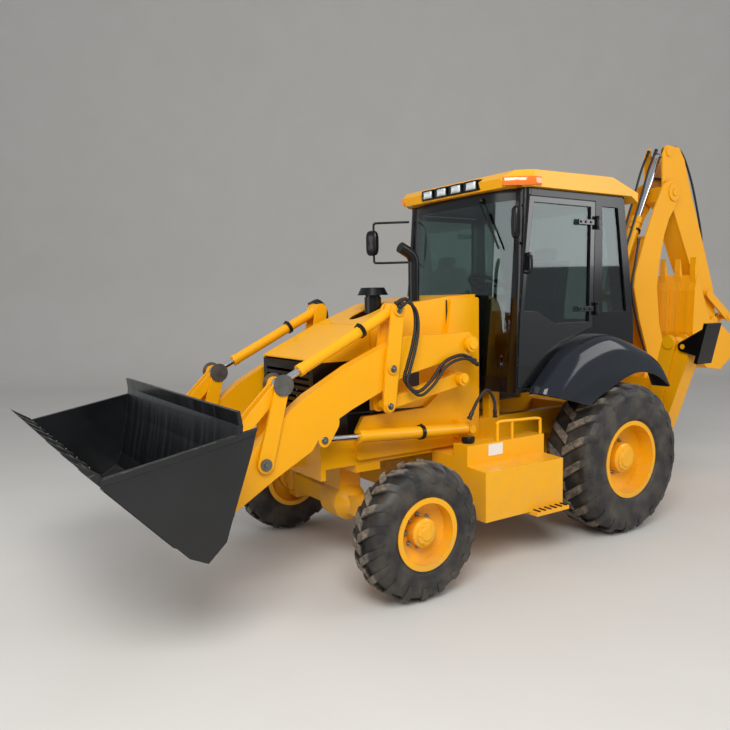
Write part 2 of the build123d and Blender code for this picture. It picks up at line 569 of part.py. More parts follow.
def cab_fittings():
    """Four square work lamps in the roof's front recess, two corner lamps, and both mirrors."""
    fittings = Part()
    for x in (-285, -95, 95, 285):
        fittings += block(x - 70, x + 70, 1128, 1174.7, 2950, 3030)
    fittings += both_sides(block(665, 730, 1235, 1299, 2930, 2961.7))
    # mirror arms stand square on the cab's front corners: side, length, heights
    lean = Vector(240, -250, 0).normalized()
    for sign, reach, heights, plate in ((-1, 345, (2420, 2800), (-150, 70, 2480, 2720)),
                                        (1, 160, (2480, 2790), (-60, 60, 2500, 2740))):
        foot = Vector(700, 1242, 0) + lean * PIN_FIT
        pole = foot + lean * reach
        arm = Pos(pole.X, pole.Y, (heights[0] + heights[1]) / 2) * Cylinder(12, heights[1] - heights[0] + 40)
        for z in heights:
            arm += rod((foot.X, foot.Y, z), (pole.X, pole.Y, z), 9)
        glass_box = block(pole.X - 90, pole.X + 90, pole.Y - 42, pole.Y - 8, plate[2], plate[3])
        arm += glass_box
        fittings += arm if sign > 0 else mirror(arm, about=Plane.YZ)
    return fittings


HINGE_X, HINGE_Y, HINGE_HEIGHTS = CAB_HALF + 20, 2128, (1960, 2690)


def door(sign):
    """Door with its glass pane, hinge straps and handle."""
    inside = CAB_HALF - 38
    frame = shape_side(DOOR_OUTLINE, 0, inside, CAB_HALF) - shape_side(DOOR_GLASS, 0, 0, 900)
    frame += block(CAB_HALF, CAB_HALF + 30, 1300, 1330, 2280, 2420)
    for z in HINGE_HEIGHTS:
        frame += block(CAB_HALF, CAB_HALF + 12, 1900, HINGE_Y, z - 22, z + 22)
        frame += Pos(HINGE_X, HINGE_Y, z) * Cylinder(16, 60)
    pane = shape_side(DOOR_GLASS, -PIN_FIT, inside + 14, inside + 20)
    solid = frame + pane
    return solid if sign > 0 else mirror(solid, about=Plane.YZ)


def door_lugs():
    """The cab's halves of the door hinges, above and below each strap's knuckle."""
    lugs = Part()
    for z in HINGE_HEIGHTS:
        for low in (z - 55, z + 30 + PIN_FIT):
            lugs += Pos(HINGE_X, HINGE_Y, low) * Cylinder(16, 25 - PIN_FIT, align=(Align.CENTER, Align.CENTER, Align.MIN))
            lugs += block(CAB_HALF - 5, HINGE_X, HINGE_Y, HINGE_Y + 50, low, low + 25 - PIN_FIT)
    return both_sides(lugs)


def cab_glass():
    """Windscreen, rear window and the two quarter windows."""
    inside = CAB_WALL / 2
    skin = cab_prism(inside - 3) - cab_prism(inside + 3)
    glass = skin & block(-439.7, 439.7, 1000, 1400, 1500.3, 2849.7)
    glass += skin & block(-559.7, 559.7, 2400, 2800, 1850.3, 2839.7)
    quarter = offset(side(QUARTER_WINDOW), -PIN_FIT, kind=Kind.INTERSECTION)
    glass += both_sides(slab(quarter, CAB_HALF - inside - 3, CAB_HALF - inside + 3))
    return glass


def cab_interior():
    """Seat on its pedestal, dashboard with steering column and wheel, consoles with levers, floor."""
    seat = block(-150, 150, 1960, 2300, CAB_REAR_FLOOR + CAB_WALL, 1720) + block(-230, 230, 1900, 2330, 1720, 1850)
    seat += slab(side([(2230, 1850), (2320, 2400), (2420, 2400), (2330, 1850)], 20), -220, 220)
    console = block(-320, 320, CAB_FRONT + CAB_WALL + 45, 1330, CAB_FLOOR + CAB_WALL, 2060)
    console += rod((0, 1300, 1620), (0, 1600, 2165), 40)
    wheel = Torus(190, 16) + Cylinder(42, 40)
    for turn in range(3):
        wheel += Rot(0, 0, turn * 120) * block(0, 190, -12, 12, -6, 6)
    return seat + console + Location((0, 1604, 2172), (-29, 0, 0)) * wheel


FENDER_TOP = [(1335, 1300), (1355, 1335), (1690, 1630), (2100, 1748), (2490, 1640), (2790, 1490), (2960, 1235)]
FENDER_ARCH = [(2930, 1240), (2700, 1362), (2490, 1400), (2290, 1362), (1960, 1235), (1830, 1165)]
FENDER_OUT = 955


def fenders():
    """Rear mudguards: a top skin from the cab's side outwards and a skirt round the tyre."""
    skirt = side(FENDER_TOP + FENDER_ARCH)
    block_shape = side(FENDER_TOP + [(FENDER_TOP[-1][0], 700), (FENDER_TOP[0][0], 700)])
    skin = skirt - offset(block_shape, -14, kind=Kind.INTERSECTION)
    return both_sides(slab(skin, CAB_HALF, FENDER_OUT) + slab(skirt, FENDER_OUT - 14, FENDER_OUT))


# ---- backhoe ------------------------------------------------------------------------------
def swing_post():
    """Swing casting: hinge barrel, web, and the two cheeks that hold the boom."""
    body = Pos(0, SWING_Y, 730) * Cylinder(85, 368)
    body += Pos(0, SWING_Y, 730) * Cylinder(35, 500)
    body += block(-175, 175, 3900, 3985, 665, 910)
    cheek = side([(3975, 665), (4080, 665), (4215, 900), (4215, 1010), (4170, 1090), (3800, 1290), (3640, 1270),
                  (3640, 1130), (3965, 985), (3985, 905)], 25)
    inner = BOOM_HALF + PLATE_GAP
    body += both_sides(slab(cheek, inner, inner + 25))
    for pin, radius in ((BOOM_FOOT, 38), (BOOM_CYLINDER_BASE, 28)):
        body += disc(pin, radius, -inner - 37, inner + 37)
    return body


def boom():
    outline = side([(3995, 900), (3870, 1200), (3730, 1450), (3580, 1810), (3480, 2150), (3500, 2290), (3660, 2680),
                    (3800, 2970), (3960, 3240), (4080, 3290), (4200, 3270), (4255, 3160), (4150, 2990), (4060, 2880),
                    (3980, 2710), (3900, 2400), (3870, 2150), (3920, 1760), (4040, 1450), (4180, 1150), (4215, 960),
                    (4130, 870)], 30)
    outer, inner = BOOM_HALF, BOOM_HALF - BOOM_PLATE
    beam = both_sides(slab(outline, inner, outer))
    rear_web = [(4040, 1450), (3920, 1760), (3870, 2150), (3900, 2400), (3980, 2710)]
    front_web = [(4020, 1240), (3860, 1500), (3710, 1840), (3620, 2150), (3640, 2290), (3790, 2660)]
    for line, depth in ((rear_web, -BOOM_PLATE), (front_web, BOOM_PLATE)):
        beam += slab(side(line + [(y + depth, z) for y, z in line[::-1]]), -inner, inner)
    beam += disc(BOOM_FOOT, 100, -inner, inner)
    ear = bar(BOOM_BRACKET, (3600, 2170), 62, 110)
    beam += both_sides(slab(ear, 88, 110) + disc(BOOM_BRACKET, 42, 110, 124))
    beam += both_sides(disc(BOOM_BRACKET, 28, EYE_HALF + 23, 88))
    beam += both_sides(disc(DIPPER_PIVOT, 95, outer, outer + 14))
    return beam - disc(BOOM_FOOT, 38 + PIN_FIT, -300, 300) - disc(DIPPER_PIVOT, 40 + PIN_FIT, -300, 300)


def dipper():
    outline = side([(4000, 3560), (4060, 3660), (4290, 3650), (4390, 3530), (4560, 3110), (4770, 2670), (5010, 2140),
                    (5075, 1790), (5040, 1680), (4960, 1670), (4910, 1740), (4790, 2020), (4540, 2400), (4200, 3000),
                    (4050, 3070), (4010, 3160)], 30)
    outer, inner = DIPPER_HALF, DIPPER_HALF - DIPPER_PLATE
    beam = both_sides(slab(outline, inner, outer))
    web = [(4030, 3220), (4070, 3075), (4205, 3010), (4545, 2410), (4800, 2020), (4910, 1830)]
    beam += slab(side(web + [(y + DIPPER_PLATE, z + 6) for y, z in web[::-1]]), -inner, inner)
    beam += disc(HOE_PIVOT, 62, -inner, inner)
    pivot = disc(DIPPER_PIVOT, 40, -BOOM_HALF - 24, BOOM_HALF + 24) + disc(DIPPER_PIVOT, 80, -inner, inner)
    beam += pivot
    beam += disc(BUCKET_CYLINDER_BASE, 28, -inner, inner)
    beam += both_sides(disc(DIPPER_TAIL, 50, outer, outer + 12))
    beam += both_sides(disc(DIPPER_LINK_PIN, 30, outer, 155 + 20))
    return beam - disc(HOE_PIVOT, 32 + PIN_FIT, -300, 300)


def boom_barrel():
    body = barrel(0, BOOM_CYLINDER_BASE, BOOM_BRACKET, 880, 60, 62, 60, 33)
    return body - disc(BOOM_CYLINDER_BASE, 28 + PIN_FIT, -200, 200)


def boom_rod():
    return piston_rod(0, BOOM_CYLINDER_BASE, BOOM_BRACKET, 150, 32, 55, 40)


def dipper_barrel():
    """Barrel with a forked base, astride the boom cylinder's eye."""
    neck, mouth = along(BOOM_BRACKET, DIPPER_TAIL, 130), along(BOOM_BRACKET, DIPPER_TAIL, 915)
    body = rod(at_x(0, neck), at_x(0, mouth), 60)
    body += rod(at_x(0, along(BOOM_BRACKET, DIPPER_TAIL, 850)), at_x(0, mouth), 66)
    tail = along(BOOM_BRACKET, DIPPER_TAIL, 190)
    body += both_sides(slab(bar(BOOM_BRACKET, tail, 50, 50), EYE_HALF + 23, 78))
    body += block(-78, 78, 3300, 3500, 2150, 2400) & rod(at_x(0, neck), at_x(0, tail), 90)
    body -= rod(at_x(0, along(BOOM_BRACKET, DIPPER_TAIL, 160)), at_x(0, along(BOOM_BRACKET, DIPPER_TAIL, 916)), 36)
    return body - disc(BOOM_BRACKET, 28 + PIN_FIT, -200, 200)


def dipper_rod():
    return piston_rod(0, BOOM_BRACKET, DIPPER_TAIL, 890, 35, 55, 60)


def hoe_barrel():
    body = barrel(0, BUCKET_CYLINDER_BASE, ROD_PIN, 860, 52, 52, 40, 29)
    return body - disc(BUCKET_CYLINDER_BASE, 28 + PIN_FIT, -200, 200)


def hoe_rod():
    return piston_rod(0, BUCKET_CYLINDER_BASE, ROD_PIN, 400, 28, 46, 35)


def dipper_links():
    """Plates from the dipper to the rod's pin, with the pin stubs that carry the bucket links."""
    plate = bar(DIPPER_LINK_PIN, ROD_PIN, 48, 50) - Plane.YZ * (Pos(*DIPPER_LINK_PIN) * Circle(30 + PIN_FIT))
    return both_sides(slab(plate, 155, 175) + disc(ROD_PIN, 30, 45, 187))


def bucket_links():
    plate = bar(ROD_PIN, HOE_LINK_PIN, 50, 48) - Plane.YZ * (Pos(*ROD_PIN) * Circle(30 + PIN_FIT))
    return both_sides(slab(plate, 46, 72) + disc(HOE_LINK_PIN, 30, 72, 120))


def hoe_bucket():
    half = HOE_WIDTH / 2
    outside = [(4375, 2280), (4330, 2110), (4310, 1660), (4390, 1420), (4600, 1250), (4870, 1215), (5060, 1330),
               (5085, 1370)]
    inside = [(4395, 2275), (4347, 2108), (4326, 1664), (4403, 1431), (4607, 1264), (4867, 1230), (5050, 1342),
              (5072, 1378)]
    wrapper = slab(side(outside + inside[::-1]), -half, half)
    cheek = side([(4375, 2280), (4330, 2110), (4310, 1660), (4390, 1420), (4600, 1250), (4870, 1215), (5060, 1330),
                  (5150, 1480), (5080, 1590), (4900, 1700), (4640, 1790), (4420, 2200)])
    cheeks = both_sides(slab(cheek, half - HOE_PLATE, half))
    inner = 125
    ear_face = make_hull([e for p, r in ((HOE_PIVOT, 70), (HOE_LINK_PIN, 58), ((4900, 1300), 60))
                          for e in (Pos(*p) * Circle(r)).edges()])
    ears = slab(Plane.YZ * ear_face, inner, inner + 25)
    ears += disc(HOE_LINK_PIN, 42, inner + 25, inner + 29)
    pin = disc(HOE_PIVOT, 32, -inner - 29, inner + 29)
    teeth = Part()
    pitch = (HOE_WIDTH - 80) / (HOE_TEETH - 1)
    for number in range(HOE_TEETH):
        x = -half + 40 + number * pitch
        teeth += slab(side([(4352, 2465), (4400, 2200), (4355, 2190), (4340, 2330)]), x - 32, x + 32)
    # wear ribs down the wrapper's outside
    rib = side([(4352, 2200), (4330, 2110), (4310, 1660), (4390, 1420), (4500, 1333), (4493, 1324), (4379, 1413),
                (4296, 1656), (4316, 2112), (4338, 2203)])
    ribs = Part()
    for x in (-240, -120, 0, 120, 240):
        ribs += slab(rib, x - 16, x + 16)
    return wrapper + cheeks + both_sides(ears) + pin + teeth + ribs


# ---- stabilizers --------------------------------------------------------------------------
def front_view(points_and_radii, y_from, y_to):
    """Outline in the front view (x, z): round corners joined by flanks, extruded along the machine."""
    hull = make_hull([e for p, r in points_and_radii for e in (Pos(*p) * Circle(r)).edges()])
    return Pos(0, y_to, 0) * extrude(Plane.XZ * hull, y_to - y_from)


def stabilizer_leg(sign):
    leg = front_view([(STAB_PIVOT, 62), ((560, 800), 95), ((790, 1440), 85), (STAB_PAD_PIN, 45)],
                     STAB_Y - STAB_HALF, STAB_Y + STAB_HALF)
    pocket = front_view([(along(STAB_ROD_PIN, STAB_TOP_PIN, 950), 60), (STAB_ROD_PIN, 60), ((505, 750), 48),
                         ((523, 771), 50), ((536, 777), 50), ((548, 795), 50), ((554, 822), 50),
                         ((430, 760), 60), ((400, 1700), 60)], STAB_Y - 65, STAB_Y + 65)
    leg -= pocket
    for low in (STAB_Y - 66, STAB_Y + 45):
        leg += rod((STAB_ROD_PIN[0], low, STAB_ROD_PIN[1]), (STAB_ROD_PIN[0], low + 21, STAB_ROD_PIN[1]), 26)
    leg -= rod((STAB_PIVOT[0], STAB_Y - 200, STAB_PIVOT[1]), (STAB_PIVOT[0], STAB_Y + 200, STAB_PIVOT[1]), 26 + PIN_FIT)
    leg += rod((STAB_PAD_PIN[0], STAB_Y - 112, STAB_PAD_PIN[1]), (STAB_PAD_PIN[0], STAB_Y + 112, STAB_PAD_PIN[1]), 24)
    return leg if sign > 0 else mirror(leg, about=Plane.YZ)


def stabilizer_pad(sign):
    """Foot plate with two ribs astride the leg's end."""
    sole = make_face(Polyline((960, 1425), (1050, 1800), (1085, 1795), (995, 1415), close=True))
    rib = make_hull((Pos(*STAB_PAD_PIN) * Circle(48)).edges() + (Pos(1000, 1500) * Circle(12)).edges()
                    + (Pos(1050, 1740) * Circle(12)).edges())
    pad = Pos(0, STAB_Y + 118, 0) * extrude(Plane.XZ * sole, 236)
    for y in (STAB_Y + 112, STAB_Y - 96):
        pad += Pos(0, y, 0) * extrude(Plane.XZ * rib, 16)
    pad -= rod((STAB_PAD_PIN[0], STAB_Y - 200, STAB_PAD_PIN[1]), (STAB_PAD_PIN[0], STAB_Y + 200, STAB_PAD_PIN[1]),
               24 + PIN_FIT)
    return pad if sign > 0 else mirror(pad, about=Plane.YZ)


def stabilizer_barrel(sign):
    top, low = STAB_TOP_PIN, STAB_ROD_PIN
    mouth = along(top, low, 560)
    body = rod((top[0], STAB_Y, top[1]), (mouth[0], STAB_Y, mouth[1]), 45)
    body += rod((top[0], STAB_Y - 40, top[1]), (top[0], STAB_Y + 40, top[1]), 48)
    hollow = along(top, low, 90)
    body -= rod((hollow[0], STAB_Y, hollow[1]), (along(top, low, 561)[0], STAB_Y, along(top, low, 561)[1]), 26)
    body -= rod((top[0], STAB_Y - 60, top[1]), (top[0], STAB_Y + 60, top[1]), 26 + PIN_FIT)
    return body if sign > 0 else mirror(body, about=Plane.YZ)


def stabilizer_rod(sign):
    tail = along(STAB_TOP_PIN, STAB_ROD_PIN, 140)
    body = rod((tail[0], STAB_Y, tail[1]), (STAB_ROD_PIN[0], STAB_Y, STAB_ROD_PIN[1]), 25)
    body += rod((STAB_ROD_PIN[0], STAB_Y - 40, STAB_ROD_PIN[1]), (STAB_ROD_PIN[0], STAB_Y + 40, STAB_ROD_PIN[1]), 40)
    return body if sign > 0 else mirror(body, about=Plane.YZ)


# ---- all pieces ---------------------------------------------------------------------------
FRONT_RIM = dict(width=FRONT_TYRE_WIDTH, rim_radius=FRONT_RIM_RADIUS, hub_radius=100, disc_x=-10, hub_x=90)
REAR_RIM = dict(width=REAR_TYRE_WIDTH, rim_radius=REAR_RIM_RADIUS, hub_radius=130, disc_x=20, hub_x=130)


def wheel_pieces():
    """Tyre and rim of each corner: name, centre, tyre sizes, lugs, rim sizes."""
    corners = (("front", FRONT_WHEEL_X, 0, FRONT_TYRE_RADIUS, FRONT_TYRE_WIDTH, FRONT_RIM_RADIUS, FRONT_LUG_COUNT,
                FRONT_RIM),
               ("rear", REAR_WHEEL_X, WHEELBASE, REAR_TYRE_RADIUS, REAR_TYRE_WIDTH, REAR_RIM_RADIUS, REAR_LUG_COUNT,
                REAR_RIM))
    pieces = {}
    for end, x, y, radius, width, rim_radius, lug_count, rim_sizes in corners:
        for name, sign in (("left", 1), ("right", -1)):
            centre = (sign * x, y, radius)
            pieces[f"{end}_tyre_{name}"] = tyre(centre, radius, width, rim_radius, lug_count)
            pieces[f"{end}_rim_{name}"] = rim(centre, side_sign=sign, **rim_sizes)
    return pieces


PIECES = {
    "chassis_frame": chassis_frame() + loader_towers(), "engine_block": engine_block(),
    "front_grille": front_grille(), "hood": hood(), "engine_cowl": engine_cowl(),
    "hood_stacks": precleaner() + exhaust_stack(), "axles": front_axle() + rear_axle(),
    "rear_frame": rear_frame(), "step_tanks": step_tanks(), "cab_frame": cab_frame(), "cab_roof": cab_roof(),
    "cab_glass": cab_glass(), "cab_fittings": cab_fittings(), "cab_interior": cab_interior(),
    "fenders": fenders(), "loader_arms": loader_arms(), "lift_barrels": lift_barrels(),
    "lift_rods": lift_rods(), "levelling_levers": levelling_levers(), "levelling_links": levelling_links(),
    "tilt_barrels": tilt_barrels(), "tilt_rods": tilt_rods(), "dump_pivot_pins": dump_pivot_pins(),
    "dump_levers": dump_levers(), "dump_top_pins": dump_top_pins(), "dump_links": dump_links(),
    "bucket_pivot_pins": bucket_pivot_pins(), "loader_bucket": loader_bucket(), "swing_post": swing_post(),
    "boom": boom(), "boom_barrel": boom_barrel(), "boom_rod": boom_rod(), "dipper": dipper(),
    "dipper_barrel": dipper_barrel(), "dipper_rod": dipper_rod(), "dipper_links": dipper_links(),
    "bucket_links": bucket_links(), "hoe_barrel": hoe_barrel(), "hoe_rod": hoe_rod(),
    "hoe_bucket": hoe_bucket(), **wheel_pieces(),
}
for piece_side, piece_sign in (("left", 1), ("right", -1)):
    PIECES[f"knuckle_{piece_side}"] = knuckle(piece_sign)
    PIECES[f"door_{piece_side}"] = door(piece_sign)
    PIECES[f"stabilizer_leg_{piece_side}"] = stabilizer_leg(piece_sign)
    PIECES[f"stabilizer_pad_{piece_side}"] = stabilizer_pad(piece_sign)
    PIECES[f"stabilizer_barrel_{piece_side}"] = stabilizer_barrel(piece_sign)
    PIECES[f"stabilizer_rod_{piece_side}"] = stabilizer_rod(piece_sign)

os.makedirs("parts", exist_ok=True)
for node, shape in PIECES.items():
    export_step(Pos(0, LENGTH_SHIFT, 0) * shape, f"parts/{node}.step")
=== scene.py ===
import math

import bmesh
import bpy
import numpy as np
from mathutils import Matrix, Vector


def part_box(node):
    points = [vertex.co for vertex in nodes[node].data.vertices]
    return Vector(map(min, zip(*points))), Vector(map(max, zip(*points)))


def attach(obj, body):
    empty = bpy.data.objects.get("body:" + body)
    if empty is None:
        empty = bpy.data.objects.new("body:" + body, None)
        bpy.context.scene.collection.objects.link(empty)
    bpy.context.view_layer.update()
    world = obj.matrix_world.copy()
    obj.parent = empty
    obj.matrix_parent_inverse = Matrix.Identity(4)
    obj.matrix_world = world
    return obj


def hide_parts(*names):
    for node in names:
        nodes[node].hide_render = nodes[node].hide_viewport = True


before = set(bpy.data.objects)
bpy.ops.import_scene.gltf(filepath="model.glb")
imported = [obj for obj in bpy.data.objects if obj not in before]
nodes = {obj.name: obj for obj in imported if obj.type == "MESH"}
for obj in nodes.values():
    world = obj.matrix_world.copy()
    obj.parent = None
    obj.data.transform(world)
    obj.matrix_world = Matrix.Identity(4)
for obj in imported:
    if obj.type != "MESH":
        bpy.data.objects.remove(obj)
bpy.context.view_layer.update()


# ---- studio -------------------------------------------------------------------------------
# A pale floor with a cove behind, a soft key light and two fills, and the camera at eye height off
# the machine's front left corner. Outside the floor and the lamps, places are in mm from the
# front axle: left, rearwards, up.
front_rim_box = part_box("front_rim_left")
AXLE_Y = (front_rim_box[0].y + front_rim_box[1].y) / 2


def place(points):
    """Points (left, rearwards from the front axle, up) in mm as metres in the machine's frame."""
    return np.asarray(points, float) * 0.001 + np.array([0.0, AXLE_Y, 0.0])


def turning(degrees, axis):
    return np.array(Matrix.Rotation(math.radians(degrees), 3, axis))


def srgb(code):
    """Linear colour of an sRGB hex code: c / 12.92 below 0.04045, else ((c + 0.055) / 1.055) ** 2.4."""
    c = np.array([int(code[i:i + 2], 16) / 255 for i in (0, 2, 4)])
    return (*np.where(c < 0.04045, c / 12.92, ((c + 0.055) / 1.055) ** 2.4), 1.0)


def add_node(tree, kind, inputs=None, **settings):
    """Adds one shader node: settings are its properties, inputs its values or the sockets linked to it."""
    node = tree.nodes.new("ShaderNode" + kind)
    for name, value in settings.items():
        setattr(node, name, value)
    for key, value in (inputs or {}).items():
        if isinstance(value, bpy.types.NodeSocket):
            tree.links.new(value, node.inputs[key])
        else:
            node.inputs[key].default_value = value
    return node


def new_material(name):
    material = bpy.data.materials.new(name)
    material.use_nodes = True
    material.node_tree.nodes.clear()
    return material, material.node_tree


def finished(material, shader):
    """Ends a material in a shader node, or in a principled shader with the inputs given."""
    tree = material.node_tree
    if isinstance(shader, dict):
        shader = add_node(tree, "BsdfPrincipled", shader)
    add_node(tree, "OutputMaterial", {"Surface": shader.outputs[0]})
    return material


def object_place(tree):
    return add_node(tree, "TexCoord").outputs["Object"]


def noise(tree, scale, detail, roughness=0.5, where=None):
    """Noise between 0 and 1: scale in lumps per metre, detail in octaves."""
    where = where or object_place(tree)
    return add_node(tree, "TexNoise", {"Vector": where, "Scale": scale, "Detail": detail,
                                       "Roughness": roughness}).outputs["Fac"]


def remap(tree, value, near=(0.0, 1.0), to=(0.0, 1.0)):
    """Carries a value from the first range to the second, and holds it at their ends."""
    return add_node(tree, "MapRange", {"Value": value, "From Min": near[0], "From Max": near[1],
                                       "To Min": to[0], "To Max": to[1]}).outputs[0]


def blend(tree, share, first, second):
    """Colour between two codes or sockets: the first where share is 0, the second where it is 1."""
    first, second = (srgb(tone) if isinstance(tone, str) else tone for tone in (first, second))
    return add_node(tree, "MixRGB", {"Fac": share, "Color1": first, "Color2": second}).outputs[0]


def faces_of_grid(rows, columns, wrap_rows=False, wrap_columns=False):
    """Quads of a grid: cell (i, j) joins (i, j), (i+1, j), (i+1, j+1), (i, j+1); a wrap closes the grid."""
    i = np.arange(rows if wrap_rows else rows - 1)[:, None]
    j = np.arange(columns if wrap_columns else columns - 1)[None, :]
    below, beside = (i + 1) % rows, (j + 1) % columns
    corners = [i * columns + j, below * columns + j, below * columns + beside, i * columns + beside]
    return np.stack(np.broadcast_arrays(*corners), -1).reshape(-1, 4).tolist()


def make_piece(name, shapes, material, body, angle=35):
    """One object from (points, faces) shapes, its faces turned outwards, riding on a body."""
    points, faces, start = [], [], 0
    for shape_points, shape_faces in shapes:
        points.append(shape_points)
        faces += [[corner + start for corner in face] for face in shape_faces]
        start += len(shape_points)
    mesh = bpy.data.meshes.new(name)
    mesh.from_pydata(np.vstack(points).tolist(), [], faces)
    mesh.validate()
    solid = bmesh.new()
    solid.from_mesh(mesh)
    bmesh.ops.recalc_face_normals(solid, faces=solid.faces[:])
    solid.to_mesh(mesh)
    solid.free()
    mesh.shade_smooth()
    mesh.set_sharp_from_angle(angle=math.radians(angle))
    mesh.materials.append(material)
    piece = bpy.data.objects.new(name, mesh)
    bpy.context.scene.collection.objects.link(piece)
    if body:
        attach(piece, body)
    return piece


def pale_floor():
    material, tree = new_material("pale_studio_floor")
    tone = blend(tree, noise(tree, 1.3, 6.0), "D2CFC9", "CCC8C1")
    return finished(material, {"Base Color": tone, "Roughness": 0.85})


# in metres: the floor runs 11 either way, then a cove of 3 m radius leads up to a wall 12 high
RUN, COVE, HALF_SPAN, WALL_TOP, STEPS = 11, 3, 16, 12, 33
sweep = np.linspace(0, 1, STEPS)[:, None]
bend = np.clip(sweep - 0.5, 0, 0.5) * math.pi
run = np.where(sweep < 0.5, sweep * 4 * RUN - RUN, RUN + COVE * np.sin(bend))
rise = np.where(sweep < 0.5, 0.0, COVE - COVE * np.cos(bend))
across = np.linspace(-HALF_SPAN, HALF_SPAN, 2)[None, :]
floor_grid = np.stack(np.broadcast_arrays(across, run, rise), -1).reshape(-1, 3)
wall_edge = [[-HALF_SPAN, RUN + COVE, WALL_TOP], [HALF_SPAN, RUN + COVE, WALL_TOP]]
floor_points = np.vstack([floor_grid, wall_edge]) @ turning(56.6, "Z").T
last = 2 * STEPS
floor_faces = faces_of_grid(STEPS, 2) + [[last - 2, last - 1, last + 1, last]]
floor = make_piece("studio_floor", [(floor_points, floor_faces)], pale_floor(), None)

camera_data = bpy.data.cameras.new("camera")
camera_data.sensor_width, camera_data.lens = 36.0, 34.86
camera = bpy.data.objects.new("camera", camera_data)
bpy.context.scene.collection.objects.link(camera)
# turned 56.58 degrees towards the machine's right, looking down by 5.24 and rolled by 1
camera.matrix_world = (Matrix.Translation(Vector(place((4757, -2901, 2066))))
                       @ Matrix.Rotation(math.radians(56.58), 4, "Z")
                       @ Matrix.Rotation(math.radians(90 - 5.24), 4, "X")
                       @ Matrix.Rotation(math.radians(-1.0), 4, "Z"))
bpy.context.scene.camera = camera

# lamp: place in metres, what it looks at, strength in watts
for lamp_name, spot, target, watts in (("sky_key", (5.5, -5.0, 6.5), (0, 0, 1.0), 560),
                                       ("front_fill", (-1.5, -8.5, 3.5), (0, -1, 1.0), 150),
                                       ("rear_fill", (6.0, 5.5, 4.5), (0, 1.5, 1.5), 190)):
    lamp_data = bpy.data.lights.new(lamp_name, "AREA")
    lamp_data.size, lamp_data.energy = 4.0, watts
    lamp = bpy.data.objects.new(lamp_name, lamp_data)
    lamp.location = spot
    lamp.rotation_euler = (Vector(target) - Vector(spot)).to_track_quat("-Z", "Y").to_euler()
    bpy.context.scene.collection.objects.link(lamp)

world = bpy.data.worlds.new("soft_daylight")
bpy.context.scene.world = world
world.use_nodes = True
world.node_tree.nodes.clear()
daylight = add_node(world.node_tree, "Background", {"Color": srgb("EEF2F8"), "Strength": 0.5})
add_node(world.node_tree, "OutputWorld", {"Surface": daylight.outputs[0]})
bpy.context.scene.view_settings.view_transform = "Standard"


# ---- chassis, axles and tanks -------------------------------------------------------------
# Welded steel plate sprayed with two-part enamel: glossy, a little uneven over a metre, with a
# fine orange-peel skin, rubbed edges, and road dust that settles low down and on ledges.
def combine(tree, operation, *values, clamp=False):
    """Arithmetic on numbers or sockets."""
    return add_node(tree, "Math", dict(enumerate(values)), operation=operation, use_clamp=clamp).outputs[0]


def part_of(tree, vector, letter):
    return add_node(tree, "SeparateXYZ", {0: vector}).outputs[letter]


def face_normal(tree):
    return add_node(tree, "NewGeometry").outputs["True Normal"]


def bump(tree, height, strength, distance, normal=None):
    """Bumped normal: distance in metres, on top of the given normal."""
    inputs = {"Height": height, "Strength": strength, "Distance": distance}
    if normal:
        inputs["Normal"] = normal
    return add_node(tree, "Bump", inputs).outputs[0]


def rounded_edges(tree, radius, full):
    """Rounded normal, and an edge mask: 0 where it is all but the face's own normal, 1 where their product
    is down to full."""
    rounded = add_node(tree, "Bevel", {"Radius": radius}, samples=4).outputs[0]
    product = add_node(tree, "VectorMath", {0: rounded, 1: face_normal(tree)}, operation="DOT_PRODUCT")
    return rounded, remap(tree, product.outputs["Value"], (0.985, full))


def enamel(name, code, shade_code, roughness=0.3, dust=0.5):
    """Sprayed enamel: its colour and a darker shade of it, its gloss, and how much road dust it holds."""
    material, tree = new_material(name)
    paint = blend(tree, noise(tree, 2.2, 4.0), code, shade_code)
    rounded, edge = rounded_edges(tree, 0.005, 0.90)
    chips = combine(tree, "MULTIPLY", edge, remap(tree, noise(tree, 38.0, 8.0), (0.56, 0.66)))
    worn = blend(tree, combine(tree, "MULTIPLY", chips, 0.55), paint, "8A6A2A")
    # dust: thick below knee height, thin on faces that look up
    low = remap(tree, part_of(tree, object_place(tree), "Z"), (0.95, 0.25), (0.04, 0.75))
    ledge = remap(tree, part_of(tree, face_normal(tree), "Z"), (0.6, 1.0), (0.0, 0.30))
    patchy = remap(tree, noise(tree, 9.0, 9.0, 0.65), (0.35, 0.75))
    settled = combine(tree, "MULTIPLY", combine(tree, "ADD", low, ledge), patchy)
    held = combine(tree, "MULTIPLY", settled, dust, clamp=True)
    # orange peel of a sprayed coat, drawn a little coarser than life so that it shows
    skin = bump(tree, noise(tree, 160.0, 2.0), 0.03, 0.002, rounded)
    return finished(material, {"Base Color": blend(tree, held, worn, "B39A72"), "Normal": skin,
                               "Roughness": remap(tree, held, to=(roughness, 0.85)), "IOR": 1.5,
                               "Coat Weight": 0.08, "Coat Roughness": 0.12, "Specular IOR Level": 0.3})


def coat(material, *names):
    """Gives CAD nodes their finish."""
    for name in names:
        for material_slot in nodes[name].material_slots:
            material_slot.material = material


yellow_enamel = enamel("yellow_enamel", "F5AE00", "EEA600")
arm_enamel = enamel("arm_enamel", "F3AA00", "EBA000")
black_enamel = enamel("black_enamel", "070808", "050505", dust=0.08)
coat(yellow_enamel, "chassis_frame", "axles", "rear_frame", "step_tanks", "knuckle_left", "knuckle_right",
     "front_rim_left", "front_rim_right", "rear_rim_left", "rear_rim_right", "hood", "engine_cowl",
     "cab_roof")


